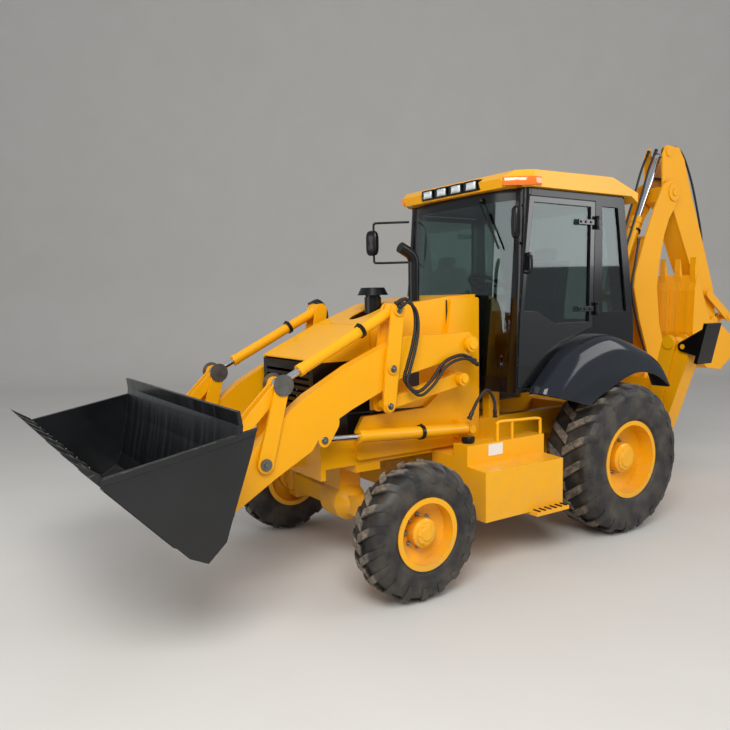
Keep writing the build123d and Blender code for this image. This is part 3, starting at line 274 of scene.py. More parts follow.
# ---- cylinder rods and pins ---------------------------------------------------------------
# Rods are hard-chromed steel bar, ground and polished: bright and clean, with faint bands of oil
# film. Pins are turned steel with a smear of grease and dust, and bolts are zinc plated.
def filmed(name, code, scale, roughness, metallic=0.0):
    """One even colour under a film that dulls it in patches: scale in patches per metre."""
    material, tree = new_material(name)
    return finished(material, {"Base Color": srgb(code), "Metallic": metallic,
                               "Roughness": remap(tree, noise(tree, scale, 5.0), to=roughness)})


def mottled_metal(name, scale, detail, codes, roughness):
    """Bare or plated metal that changes between two tones."""
    material, tree = new_material(name)
    return finished(material, {"Base Color": blend(tree, noise(tree, scale, detail), *codes), "Metallic": 0.9,
                               "Roughness": roughness})


hard_chrome = filmed("hard_chrome", "D9DADC", 30.0, (0.06, 0.18), 1.0)
pin_steel = mottled_metal("greased_pin_steel", 22.0, 7.0, ("8B8A86", "5A554C"), 0.42)
zinc = mottled_metal("zinc_plated_bolts", 60.0, 4.0, ("B9B4A4", "8D887B"), 0.36)
coat(hard_chrome, "lift_rods", "tilt_rods", "boom_rod", "dipper_rod", "hoe_rod", "stabilizer_rod_left",
     "stabilizer_rod_right")
coat(pin_steel, "dump_pivot_pins", "dump_top_pins", "bucket_pivot_pins")


# ---- loader linkage and backhoe -----------------------------------------------------------
# Flame-cut plate arms, levers and links, and honed tube barrels, all in a warmer coat of the same
# enamel. Pin ends have keeper bolts, and a bolted band sits round the loader's barrels and the
# boom's and dipper's barrels.
coat(arm_enamel, "loader_arms", "lift_barrels", "levelling_levers", "levelling_links", "tilt_barrels",
     "dump_levers", "dump_links", "swing_post", "boom", "boom_barrel", "dipper", "dipper_barrel",
     "dipper_links", "bucket_links", "hoe_barrel", "hoe_bucket", "stabilizer_leg_left",
     "stabilizer_leg_right", "stabilizer_barrel_left", "stabilizer_barrel_right")
coat(black_enamel, "stabilizer_pad_left", "stabilizer_pad_right", "front_grille", "hood_stacks")


def spun(profile, centre, axis, steps=24, closed=False):
    """Profile (along, radius) in mm turned about an axis w through c: c + a w + r (u cos t + v sin t)."""
    profile = np.asarray(profile, float)
    w = np.asarray(axis, float) / np.linalg.norm(axis)
    u = np.cross(w, (0, 0, 1) if abs(w[2]) < 0.9 else (1, 0, 0))
    u /= np.linalg.norm(u)
    v = np.cross(w, u)
    t = np.arange(steps)[:, None, None] * 2 * math.pi / steps
    along, radius = profile[None, :, 0, None], profile[None, :, 1, None]
    grid = np.asarray(centre, float) + along * w + radius * (u * np.cos(t) + v * np.sin(t))
    return place(grid.reshape(-1, 3)), faces_of_grid(steps, len(profile), wrap_rows=True, wrap_columns=closed)


def bolt_head(centre, axis, size):
    """Hexagon head of an M-size bolt on its washer: 1.5 sizes across the flats, 0.65 high."""
    washer = np.array([(0, 0), (0, 1.15), (0.16, 1.15), (0.16, 0)]) * size
    head = np.array([(0, 0), (0, 0.87), (0.55, 0.87), (0.65, 0.72), (0.65, 0)]) * size
    base = np.asarray(centre, float) + np.asarray(axis, float) / np.linalg.norm(axis) * size * 0.16
    return [spun(washer, centre, axis, 20), spun(head, base, axis, 6)]


def loft_faces(rings, sides):
    """Faces of a skin through rings of points, with a flat face on either end."""
    last = (rings - 1) * sides
    ends = [list(range(sides))[::-1], list(range(last, last + sides))]
    return faces_of_grid(rings, sides, wrap_columns=True) + ends


def lofted(grid):
    """Closed skin through rings of points in mm: grid[ring, point]."""
    return place(grid.reshape(-1, 3)), loft_faces(*grid.shape[:2])


def swept(path, radius, sides=12):
    """Round tube along a path in mm: rings square to it, each ring's first spoke carried on from the last."""
    path = np.asarray(path, float)
    radius = np.broadcast_to(radius, len(path))[:, None, None]
    ahead = np.gradient(path, axis=0)
    ahead /= np.linalg.norm(ahead, axis=1)[:, None]
    spoke = np.cross(ahead[0], (0.3, 0.1, 1.0))
    spokes = []
    for direction in ahead:
        spoke = spoke - direction * (spoke @ direction)
        spoke /= np.linalg.norm(spoke)
        spokes.append(spoke)
    first = np.array(spokes)[:, None, :]
    second = np.cross(ahead, np.array(spokes))[:, None, :]
    t = (np.arange(sides) * 2 * math.pi / sides)[None, :, None]
    return lofted(path[:, None, :] + radius * (first * np.cos(t) + second * np.sin(t)))


def slab_box(x, y, z, ease=3.0):
    """Plate between the pairs x, y and z in mm, its edges broken by a flat of the ease's width, or of just
    under a quarter of its thickness if that is less."""
    low, high = np.sort(np.array([x, y, z], float)).T
    e = min(ease, (high - low).min() * 0.24)
    rings = []
    for level, inset in ((low[2], e), (low[2] + e, 0), (high[2] - e, 0), (high[2], e)):
        a, b = low[:2] + inset, high[:2] - inset
        rings.append([(a[0] + e, a[1], level), (b[0] - e, a[1], level), (b[0], a[1] + e, level),
                      (b[0], b[1] - e, level), (b[0] - e, b[1], level), (a[0] + e, b[1], level),
                      (a[0], b[1] - e, level), (a[0], a[1] + e, level)])
    return lofted(np.array(rings))


# pin end: body, outward face from the machine's middle, rearwards, up, pin radius (0 for a bolt alone)
for body, face, y, z, radius in (
        ("loader_arms", 603, 820, 1710, 34), ("loader_arms", 603, 859, 1701, 0),
        ("loader_arms", 603, -500, 1110, 26), ("levelling_levers", 643, 60, 1570, 27),
        ("levelling_levers", 643, 120, 1990, 25), ("levelling_levers", 643, 30, 1300, 24),
        ("dump_levers", 631, -960, 1010, 24), ("loader_bucket", 708, -1220, 1130, 24)):
    proud, bolt_size = (8, 16) if radius else (0, 12)
    shapes = []
    for sign in (1, -1):
        if radius:
            turned_end = [(-2, 0), (-2, radius), (5, radius), (proud, radius - 4), (proud, 0)]
            shapes.append(spun(turned_end, (sign * face, y, z), (sign, 0, 0), 32))
        shapes += bolt_head((sign * (face + proud), y, z), (sign, 0, 0), bolt_size)
    make_piece(f"pin_ends_{body}_{y}", shapes, pin_steel, body, 30)

# clamp band: cylinder, its base and mouth, share of the way between them, radius, sides it is made for
for body, low, high, share, radius, signs in (
        ("tilt_barrels", (555, 120, 1990), (555, -820, 1520), 0.30, 47, (1, -1)),
        ("lift_barrels", (555, 860, 1030), (555, -500, 1110), 0.36, 52, (1, -1)),
        ("boom_barrel", (0, 3710, 1200), (0, 3330, 2065), 0.45, 62, (1,)),
        ("dipper_barrel", (0, 3330, 2065), (0, 4130, 3590), 0.45, 62, (1,))):
    reach = np.subtract(high, low)
    axis = reach / np.linalg.norm(reach)
    up = np.array([0, -axis[2], axis[1]]) * (1 if axis[1] > 0 else -1)
    band = [(-14, radius - 6), (-14, radius + 5), (14, radius + 5), (14, radius - 6)]
    shapes = []
    for sign in signs:
        mirror_x = np.array([sign, 1, 1])
        middle = (np.array(low) + reach * share) * mirror_x
        shapes.append(spun(band, middle, axis * mirror_x, 40))
        shapes += bolt_head(middle + up * (radius + 4), up, 11)
    make_piece(f"clamp_bands_{body}_{int(share * 100)}", shapes, black_enamel, body, 30)


# ---- loader bucket ------------------------------------------------------------------------
# Bucket in satin black over bare wear edges: dull streaks down the inside where soil has slid, and
# dust caught along the floor.
def bucket_paint():
    material, tree = new_material("scuffed_black_bucket_paint")
    rounded, edge = rounded_edges(tree, 0.006, 0.88)
    # streaks run along the machine, 20 to 60 mm apart
    stretched = add_node(tree, "Mapping", {"Vector": object_place(tree), "Scale": (26.0, 1.2, 1.2)})
    streaks = noise(tree, 1.0, 6.0, 0.6, stretched.outputs[0])
    streaky = remap(tree, streaks, (0.42, 0.72))
    gritty = remap(tree, noise(tree, 24.0, 9.0), (0.48, 0.64), (0.0, 0.6))
    scuffed = blend(tree, streaky, "090A0B", "141618")
    edged = blend(tree, combine(tree, "MULTIPLY", edge, gritty), scuffed, "4A4947")
    ledge = remap(tree, part_of(tree, face_normal(tree), "Z"), (0.5, 1.0), (0.0, 0.22))
    dusty = blend(tree, combine(tree, "MULTIPLY", ledge, gritty), edged, "8C7A5E")
    return finished(material, {"Base Color": dusty, "Roughness": remap(tree, streaky, to=(0.30, 0.46)),
                               "Coat Weight": 0.15, "Normal": bump(tree, streaks, 0.05, 0.004, rounded)})


coat(bucket_paint(), "loader_bucket")


# ---- wheels -------------------------------------------------------------------------------
# Cross-ply industrial tyres: a bulging casing moulded with rings round the bead, and two rows of
# slanted lugs whose flat tops hold pale dust while the casing between them stays black.
def tyre_rubber(name, axle, dust_from, dust_to):
    """Black rubber whose lug tops are dusty between two radii, in metres from the axle (y, z)."""
    material, tree = new_material(name)
    from_axle = add_node(tree, "VectorMath", {0: object_place(tree), 1: (0.0, *axle)}, operation="SUBTRACT")
    flat = add_node(tree, "VectorMath", {0: from_axle.outputs[0], 1: (0.0, 1.0, 1.0)}, operation="MULTIPLY")
    reach = add_node(tree, "VectorMath", {0: flat.outputs[0]}, operation="LENGTH").outputs["Value"]
    grit = noise(tree, 26.0, 10.0, 0.7)
    top_dust = combine(tree, "MULTIPLY", remap(tree, reach, (dust_from, dust_to)),
                       remap(tree, grit, (0.34, 0.62)))
    film = remap(tree, noise(tree, 7.0, 8.0), (0.40, 0.80), (0.03, 0.30))
    dust = combine(tree, "ADD", combine(tree, "MULTIPLY", top_dust, 0.78), film, clamp=True)
    # moulded rings 9 mm apart on the sidewall, with a fine grain over all
    ring_wave = combine(tree, "SINE", combine(tree, "MULTIPLY", reach, 700.0))
    below_lugs = remap(tree, reach, (dust_from - 0.11, dust_from - 0.13))
    height = combine(tree, "ADD", combine(tree, "MULTIPLY", ring_wave, below_lugs),
                     combine(tree, "MULTIPLY", grit, 1.4))
    return finished(material, {"Base Color": blend(tree, dust, "1B1C1E", "8E8271"),
                               "Roughness": remap(tree, dust, to=(0.48, 0.92)), "Specular IOR Level": 0.4,
                               "Normal": bump(tree, height, 0.35, 0.002)})


def smooth_line(points, per_span=6):
    """Catmull-Rom curve through points, its ends carried straight on: each span from p1 to p2 is
    (2 p1 + (p2 - p0) t + (2 p0 - 5 p1 + 4 p2 - p3) t^2 + (3 p1 - p0 - 3 p2 + p3) t^3) / 2."""
    p = np.asarray(points, float)
    p = np.vstack([2 * p[0] - p[1], p, 2 * p[-1] - p[-2]])
    t = np.linspace(0, 1, per_span, endpoint=False)[None, :, None]
    p0, p1, p2, p3 = (p[k:len(p) - 3 + k][:, None, :] for k in range(4))
    curve = 0.5 * (2 * p1 + (p2 - p0) * t + (2 * p0 - 5 * p1 + 4 * p2 - p3) * t ** 2
                   + (3 * p1 - p0 - 3 * p2 + p3) * t ** 3)
    return np.vstack([curve.reshape(-1, p.shape[1]), p[-2:-1]])


def tyre_lugs(centre, radius, width, count, height):
    """Lugs of both rows: across the tread u runs 0 to 1, the foot's middle is at s = slant (u - 1/2), and
    the section is a bar of chamfered corners; a point is (x, r cos a, r sin a), a = turn + pi/2 - s / R."""
    half = width / 2
    slant, bar = half * 0.72, radius * 2 * math.pi / count * 0.36
    stations = 9
    u = np.linspace(0, 1, stations)
    x = -12 + u * (half + 12)
    crown = radius - height
    top = np.interp(x, [-20, half - 78, half - 25, half], [radius, radius, radius - 38, radius - 86])
    foot = np.interp(x, [-20, half - 60, half - 6, half], [crown - 6, crown - 6, crown - 66, crown - 92])
    # section: side of the bar as a share of its half width, share of the way from foot to top
    section = np.array([(-1.12, 0.0), (-0.97, 0.86), (-0.86, 1.0), (0.86, 1.0), (0.97, 0.86), (1.12, 0.0)])
    s = slant * (u[:, None] - 0.5) + section[None, :, 0] * bar / 2 * (1 + 0.12 * (1 - u[:, None]))
    r = foot[:, None] + (top - foot)[:, None] * section[None, :, 1]
    points_each = stations * len(section)
    faces = [[corner + points_each * lug for corner in face]
             for lug in range(count) for face in loft_faces(stations, len(section))]
    shapes = []
    for row in (1, -1):
        turn = (np.arange(count) + (0.5 if row < 0 else 0)) * 2 * math.pi / count
        angle = turn[:, None, None] + math.pi / 2 - s[None] / radius
        grid = np.stack(np.broadcast_arrays(row * x[None, :, None], r[None] * np.cos(angle),
                                            r[None] * np.sin(angle)), -1)
        shapes.append((place(grid.reshape(-1, 3) + np.asarray(centre, float)), faces))
    return shapes


LUG_HEIGHT = 32
# wheel pair: its outward place, rearwards, radius; tyre: width, rim radius, lugs in a row;
# hub: disc face, nuts, ring radius of the nuts, end of the hub, radius of its cap
wheel_pairs = (("front", 972, 0, 482, (300, 252, 18), (8, 8, 112, 106, 78)),
               ("rear", 800, 2320, 655, (480, 336, 20), (38, 10, 142, 146, 106)))
for end, wheel_x, wheel_y, radius, (width, rim_radius, lug_count), _ in wheel_pairs:
    half, crown = width / 2, radius - LUG_HEIGHT
    rubber = tyre_rubber(f"{end}_tyre_rubber", (AXLE_Y + wheel_y / 1000, radius / 1000), (radius - 16) / 1000,
                         (radius - 4) / 1000)
    shoulder = [(half * 0.80, rim_radius - 18), (half * 0.84, rim_radius + 2), (half * 0.86, rim_radius + 14),
                (half * 0.93, rim_radius + 34), (half - 8, rim_radius + (crown - rim_radius) * 0.42),
                (half - 6, crown - 62), (half - 26, crown - 24), (half - 66, crown - 3), (0, crown + 2)]
    outer = smooth_line(shoulder, 5)
    casing = np.vstack([outer, (outer * [-1, 1])[::-1][1:]])
    for side, sign in (("left", 1), ("right", -1)):
        centre = (sign * wheel_x, wheel_y, radius)
        shapes = [spun(casing, centre, (1, 0, 0), 96, True)]
        shapes += tyre_lugs(centre, radius, width, lug_count, LUG_HEIGHT)
        tyre = make_piece(f"{end}_tyre_rubber_{side}", shapes, rubber, f"{end}_wheel_{side}", 40)
        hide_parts(f"{end}_tyre_{side}")


def ring_of(count, reach, x, y, z):
    """Places on a circle round a wheel's axis."""
    turn = np.arange(count) * 2 * math.pi / count
    return [(x, y + reach * math.cos(t), z + reach * math.sin(t)) for t in turn]


# hubs: a stud and nut at each place of a ring, and the hub's own bolted cap
for end, wheel_x, wheel_y, radius, _, (face, nuts, nut_ring, hub_end, cap) in wheel_pairs:
    for side, sign in (("left", 1), ("right", -1)):
        outwards = (sign, 0, 0)
        shapes = []
        for spot in ring_of(nuts, nut_ring, sign * (wheel_x + face), wheel_y, radius):
            shapes += bolt_head(spot, outwards, 20)
            shapes.append(spun([(0, 0), (0, 9), (26, 9), (28, 7), (28, 0)], spot, outwards, 16))
        make_piece(f"{end}_wheel_nuts_{side}", shapes, zinc, f"{end}_wheel_{side}", 30)
        shapes = [spun([(0, 0), (0, cap), (6, cap - 3), (12, cap - 30), (18, cap - 34), (18, 0)],
                       (sign * (wheel_x + hub_end), wheel_y, radius), outwards, 48)]
        for spot in ring_of(6, cap - 16, sign * (wheel_x + hub_end + 5), wheel_y, radius):
            shapes += bolt_head(spot, outwards, 9)
        make_piece(f"{end}_hub_cap_{side}", shapes, yellow_enamel, f"{end}_wheel_{side}", 30)


# ---- cab ----------------------------------------------------------------------------------
# Black gloss frame round 6 mm tinted glass. Behind the door's front edge it is the CAD node's own
# shape, and ahead of that are slim posts and a windscreen bowed round the corners.
def window_glass(tree):
    """Tinted glass: light goes straight through but for a mirror whose share is 0.05 + 0.85 (1 - cos)^5."""
    facing = add_node(tree, "LayerWeight", {"Blend": 0.5}).outputs["Facing"]
    share = remap(tree, combine(tree, "POWER", facing, 5.0), to=(0.05, 0.9))
    clear = add_node(tree, "BsdfTransparent", {"Color": srgb("BCCAC6")})
    mirror = add_node(tree, "BsdfPrincipled", {"Base Color": srgb("F4F8FA"), "Metallic": 1.0,
                                               "Roughness": 0.03})
    return add_node(tree, "MixShader", {0: share, 1: clear.outputs[0], 2: mirror.outputs[0]})


def kept_behind(node, rearwards):
    """The CAD node's shape cut square across: what lies behind that place is kept, and the cut is capped."""
    solid = bmesh.new()
    solid.from_mesh(nodes[node].data)
    bmesh.ops.remove_doubles(solid, verts=solid.verts, dist=1e-5)
    cut = bmesh.ops.bisect_plane(solid, geom=solid.verts[:] + solid.edges[:] + solid.faces[:], dist=1e-6,
                                 plane_co=place((0, rearwards, 0)), plane_no=(0, 1, 0), clear_inner=True)
    rim = [part for part in cut["geom_cut"] if isinstance(part, bmesh.types.BMEdge)]
    if rim:
        bmesh.ops.triangle_fill(solid, use_beauty=True, use_dissolve=False, edges=rim)
    solid.verts.index_update()
    points = np.array([corner.co for corner in solid.verts])
    faces = [[corner.index for corner in face.verts] for face in solid.faces]
    solid.free()
    return points, faces


SCREEN_HALF = 645


def screen_line(x, z):
    """Rearward place of the windscreen: 1115 at the floor, leaning back 100 in 1630, and bowed by
    70 (x / 645)^4."""
    return 1115 + 100 * (z - 1300) / 1630 + 70 * (np.abs(x) / SCREEN_HALF) ** 4


def screen_band(x_half, z_low, z_high, thick, rows=12):
    """Closed sheet bowed like the windscreen, from -x_half to x_half and z_low to z_high, thick mm deep."""
    x = np.linspace(-x_half, x_half, 41)[:, None]
    z = np.linspace(z_low, z_high, rows)[None, :]
    skins = [np.stack(np.broadcast_arrays(x, screen_line(x, z) + back, z), -1) for back in (0, thick)]
    return lofted(np.concatenate([skins[0], skins[1][:, ::-1]], 1))


def corner_post(sign):
    """Front post between windscreen and door: in plan a bowed outer face from the glass to the door's edge,
    (1 - t)^2 start + 2 t (1 - t) bow + t^2 end."""
    t = np.linspace(0, 1, 9)[:, None]
    rings = []
    for z in (1304, 1345, 1600, 1900, 2200, 2500, 2865, 2931):
        edge = np.interp(z, [1345, 1900, 2865], [1200, 1225, 1330]) - 7
        glass = screen_line(SCREEN_HALF, z)
        start, bow, end = (SCREEN_HALF, glass), (738, min(glass, edge) - 16), (749, edge)
        face = (1 - t) ** 2 * start + 2 * t * (1 - t) * bow + t ** 2 * end
        plan = np.vstack([face, [(706, edge), (690, edge + 24), (655, glass + 46), (SCREEN_HALF, glass + 8)]])
        rings.append(np.column_stack([sign * plan[:, 0], plan[:, 1], np.full(len(plan), z)]))
    return lofted(np.array(rings))


# rearward place of the cut, just behind the doors' front edges at the top
CUT = 1345
cab_enamel = enamel("cab_black_enamel", "0B0C0E", "08090A", 0.2, 0.06)
tinted_glass, tree = new_material("tinted_safety_glass")
finished(tinted_glass, window_glass(tree))
frame_shapes = [kept_behind("cab_frame", CUT)]
# cross members below and above the windscreen
for z_low, z_high in ((1302, 1425), (2838, 2930)):
    frame_shapes.append(screen_band(648, z_low, z_high, 34, 3))
for sign in (1, -1):
    frame_shapes.append(corner_post(sign))
    # roof rail and sill from the post back to the door's top and bottom corners
    frame_shapes.append(slab_box((sign * 700, sign * 749), (1318, 1350), (2872, 2930), 4))
    frame_shapes.append(slab_box((sign * 640, sign * 748), (1196, 1350), (1301, 1338), 4))
floor_plan = ((-640, 1185), (-420, 1128), (420, 1128), (640, 1185), (640, 1350), (-640, 1350))
floor_rings = [[(x, y, level) for x, y in floor_plan] for level in (1302.0, 1340.0)]
frame_shapes.append(lofted(np.array(floor_rings)))
cab_body = make_piece("cab_frame_and_posts", frame_shapes, cab_enamel, "chassis", 35)
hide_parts("cab_frame")
pane_shapes = [kept_behind("cab_glass", CUT), screen_band(646, 1420, 2842, 6)]
windows = make_piece("cab_windows", pane_shapes, tinted_glass, "chassis", 35)
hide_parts("cab_glass")


# ---- doors --------------------------------------------------------------------------------
# A door is one casting of frame and pane, so its finish tells them apart: the pane is where a face
# looks sideways 729 mm off the machine's middle.
def framed_pane():
    material, tree = new_material("door_enamel_round_glass")
    away = combine(tree, "ABSOLUTE", part_of(tree, object_place(tree), "X"))
    at_pane = combine(tree, "COMPARE", away, 0.729, 0.0045)
    sideways = combine(tree, "ABSOLUTE", part_of(tree, face_normal(tree), "X"))
    is_pane = combine(tree, "MULTIPLY", at_pane, combine(tree, "GREATER_THAN", sideways, 0.9))
    rounded = add_node(tree, "Bevel", {"Radius": 0.006}, samples=4).outputs[0]
    gloss_black = add_node(tree, "BsdfPrincipled", {"Base Color": srgb("0B0C0E"), "Roughness": 0.2,
                                                    "Coat Weight": 0.3, "Normal": rounded})
    pane = window_glass(tree)
    return finished(material, add_node(tree, "MixShader", {0: is_pane, 1: gloss_black.outputs[0],
                                                           2: pane.outputs[0]}))


coat(framed_pane(), "door_left", "door_right")


# ---- seat and levers ----------------------------------------------------------------------
# Moulded plastic and vinyl with a leather grain 2 mm across: a padded seat with arm rests, the
# loader's levers right of it and the hoe's behind it.
def leather_grained_vinyl():
    material, tree = new_material("black_vinyl")
    grain = add_node(tree, "TexVoronoi", {"Vector": object_place(tree), "Scale": 420.0}).outputs["Distance"]
    return finished(material, {"Base Color": srgb("1C1D20"), "Roughness": 0.55,
                               "Normal": bump(tree, grain, 0.25, 0.001)})


vinyl = leather_grained_vinyl()
coat(vinyl, "cab_interior")


def cushion(x, y, z, puff, turn=np.eye(3), move=(0, 0, 0)):
    """Padded block: a superellipse in plan, |x|^4 + |y|^4 = 1, domed by puff towards its middle on both
    faces, then turned about the origin and moved."""
    around = 40
    t = np.linspace(0, 2 * math.pi, around, endpoint=False)[None, :]
    # ring: share of the plan's size, share of the way from the middle to the top
    ring = np.array([(0.02, 1.0), (0.5, 0.92), (0.8, 0.72), (0.95, 0.42), (1.0, 0.0), (0.97, -0.6),
                     (0.9, -1.0), (0.02, -1.0)])
    out, level = ring[:, 0][:, None], ring[:, 1][:, None]
    px = np.sign(np.cos(t)) * np.abs(np.cos(t)) ** 0.5 * out
    py = np.sign(np.sin(t)) * np.abs(np.sin(t)) ** 0.5 * out
    low, high = np.array([x, y, z], float).T
    half = (high - low) / 2 + (0, 0, puff)
    grid = (low + high) / 2 + np.stack(np.broadcast_arrays(px * half[0], py * half[1], level * half[2]), -1)
    points = grid.reshape(-1, 3) @ turn.T + move
    return place(points), faces_of_grid(len(ring), around, wrap_columns=True)


leaning = turning(-99, "X")
seat_shapes = [cushion((-238, 238), (1895, 2300), (1800, 1862), 12),
               cushion((-235, 235), (-290, 290), (-45, 25), 14, leaning, (0, 2280, 2130)),
               cushion((-130, 130), (-75, 75), (-35, 25), 10, leaning, (0, 2345, 2455))]
for x in (290, -290):
    seat_shapes.append(cushion((x - 35, x + 35), (1960, 2270), (2030, 2070), 6))
    seat_shapes.append(slab_box((x - 14, x + 14), (2230, 2262), (1850, 2040)))
make_piece("padded_seat", seat_shapes, vinyl, "chassis", 40)
# lever: foot, head
lever_shapes = []
for foot, head in (((-330, 1700, 1760), (-330, 1640, 2100)), ((-390, 1700, 1760), (-390, 1650, 2080)),
                   ((-80, 2480, 1700), (-80, 2430, 2150)), ((80, 2480, 1700), (80, 2430, 2150))):
    lever_shapes.append(swept(smooth_line([foot, np.add(foot, head) / 2 + (0, 12, 0), head], 5), 9))
    knob = [(-28, 0), (-26, 14), (-4, 22), (22, 24), (40, 17), (46, 0)]
    lever_shapes.append(spun(knob, head, np.subtract(head, foot), 20))
lever_shapes.append(slab_box((-430, -290), (1600, 1960), (1440, 1765), 14))
lever_shapes.append(slab_box((-200, 200), (2440, 2530), (1440, 1705), 14))
make_piece("control_levers", lever_shapes, vinyl, "chassis", 30)


# ---- roof lamps ---------------------------------------------------------------------------
# Four square lamps in a black panel across the roof's front, and amber lamps round its corners.
# A pressed lens has upright flutes 6 mm apart and bulges by 9 (1 - u^4) (1 - v^4).
def fluted_lamp_glass():
    material, tree = new_material("fluted_lamp_glass")
    across_x = part_of(tree, object_place(tree), "X")
    flute = combine(tree, "SINE", combine(tree, "MULTIPLY", across_x, 1047.0))
    return finished(material, {"Base Color": srgb("DCE2E4"), "Roughness": 0.10, "Coat Weight": 0.8,
                               "Metallic": 0.35, "Normal": bump(tree, flute, 0.5, 0.002)})


LAMP_PLACES = (-285, -95, 95, 285)
# corners of a rim: across from the lamp's middle, up
rim_corners = ((-60, 2954), (-66, 2960), (-66, 3020), (-60, 3026), (60, 3026), (66, 3020), (66, 2960),
               (60, 2954), (-60, 2954))
u, v = np.meshgrid(np.linspace(-1, 1, 9), np.linspace(-1, 1, 9), indexing="ij")
dome = 1128 - 9 * (1 - u ** 4) * (1 - v ** 4)
lenses = [(place(np.stack([x + 60 * u, dome, 2990 + 32 * v], -1).reshape(-1, 3)), faces_of_grid(9, 9))
          for x in LAMP_PLACES]
make_piece("roof_lamp_lenses", lenses, fluted_lamp_glass(), "chassis", 40)
panel = slab_box((-384, 384), (1136, 1174), (2946, 3034), 6)
make_piece("roof_lamp_panel", [panel], black_enamel, "chassis", 30)
rims = [swept(smooth_line([(x + a, 1126, b) for a, b in rim_corners], 2), 6, 8) for x in LAMP_PLACES]
make_piece("roof_lamp_rims", rims, black_enamel, "chassis", 40)

amber, tree = new_material("amber_lens")
finished(amber, {"Base Color": srgb("E8720C"), "Roughness": 0.12, "Coat Weight": 0.9,
                 "Subsurface Weight": 0.2})
corner_line = smooth_line([(648, 1128), (672, 1146), (735, 1226), (800, 1316), (806, 1400)], 5)
# section: how far the lens stands out, up
lens_section = ((-8, 2940), (5, 2942), (11, 2958), (11, 2996), (5, 3008), (-8, 3010))
amber_shapes = []
for sign in (1, -1):
    grid = [np.stack([sign * (corner_line[:, 0] + out * 0.8), corner_line[:, 1] - out * 0.6,
                      np.full(len(corner_line), z)], -1) for out, z in lens_section]
    amber_shapes.append(lofted(np.stack(grid, 1)))
make_piece("amber_side_lamps", amber_shapes, amber, "chassis", 40)


# ---- mirrors, wiper and door handles ------------------------------------------------------
# Moulded mirror heads on bent tube arms that reach forward and out from the corner posts, one
# longer than the other, a wiper on the windscreen, and grips and strap bolts on the doors.
mirror_shapes = [slab_box((x - 66, x + 66), (1132, 1173), (2952, 3028), 3) for x in LAMP_PLACES]
# mirror: side, reach of the arm, its low and high ends; head's half width and depth, its low and high
# ends, and its turn
for sign, reach, low, high, (wide, deep, head_low, head_high), head_turn in (
        (-1, 345, 2420, 2800, (64, 26, 2490, 2730), 24), (1, 150, 2500, 2800, (60, 24, 2520, 2770), -32)):
    foot = np.array([sign * 706, 1236])
    away = np.array([sign * 0.692, -0.721]) * reach
    pole = foot + away
    knee, bend = foot + away * 0.88, foot + away * 0.97
    path = [(*foot, high), (*knee, high), (*bend, high - 8), (*pole, high - 40), (*pole, low + 40),
            (*bend, low + 8), (*knee, low), (*foot, low)]
    mirror_shapes.append(swept(smooth_line(path, 5), 11))
    half_height = (head_high - head_low) / 2
    upright = turning(head_turn, "Z") @ turning(90, "X")
    mirror_shapes.append(cushion((-wide, wide), (-half_height, half_height), (-deep, deep), 4, upright,
                                 (pole[0], pole[1] - 20, (head_low + head_high) / 2)))
fittings = make_piece("mirrors_and_lamp_housings", mirror_shapes, black_enamel, "chassis", 40)
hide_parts("cab_fittings")

wiper = [swept([(330, 1205, 2868), (330, 1180, 2852), (420, 1170, 2700), (520, 1172, 2540)], 7),
         swept([(400, 1182, 2760), (560, 1176, 2460)], 9),
         spun([(0, 0), (0, 22), (20, 20), (24, 0)], (330, 1212, 2870), (0, -1, 0))]
make_piece("windscreen_wiper", wiper, black_enamel, "chassis", 30)
# a grip's route (outward, rearwards, up), and six bolts on the two hinge straps
grip_route = np.array([(752, 1296, 2400), (790, 1302, 2390), (796, 1306, 2350), (796, 1306, 2310),
                       (790, 1302, 2270), (752, 1296, 2260)])
for side, sign in (("left", 1), ("right", -1)):
    shapes = [swept(smooth_line(grip_route * (sign, 1, 1), 4), 10)]
    for z in (1960, 2690):
        for y in (1925, 1985, 2050):
            shapes += bolt_head((sign * 762, y, z), (sign, 0, 0), 10)
    make_piece(f"door_hardware_{side}", shapes, black_enamel, f"door_{side}", 30)


# ---- mudguards ----------------------------------------------------------------------------
# One moulded skin each, gloss dark blue-grey: from the cab wall out over the tyre, round a full
# shoulder and down to the arch. In section x = 750 + 205 sin(t)^0.5, and it falls as 1 - cos(t)^0.5.
CAB_WALL, GUARD_REACH, GUARD_SKIN = 750, 205, 12
guard_paint = enamel("gloss_blue_grey_enamel", "20252C", "1B2026", 0.1, 0.1)
top_line = smooth_line([(1335, 1300), (1400, 1385), (1690, 1630), (2100, 1745), (2490, 1640), (2790, 1488),
                        (2955, 1240)], 8)
arch_line = smooth_line([(1830, 1165), (1960, 1235), (2290, 1362), (2490, 1398), (2700, 1362), (2830, 1302),
                         (2930, 1240)], 8)
t = np.linspace(0, math.pi / 2, 15)
out, fall = np.sin(t) ** 0.5, 1 - np.cos(t) ** 0.5
out[0], fall[-1] = 0.0, 1.0
guard_shapes = []
for sign in (1, -1):
    skins = []
    for inset in (0, GUARD_SKIN):
        edge = top_line + (0, -inset)
        along = edge[:, None, :] + (arch_line - edge)[:, None, :] * fall[None, :, None]
        x = np.broadcast_to(sign * (CAB_WALL + (GUARD_REACH - inset) * out)[None, :], along.shape[:2])
        skins.append(np.stack([x, along[..., 0], along[..., 1]], -1))
    guard_shapes.append(lofted(np.concatenate([skins[0], skins[1][:, ::-1]], 1)))
guards = make_piece("moulded_mudguards", guard_shapes, guard_paint, "chassis", 50)
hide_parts("fenders")
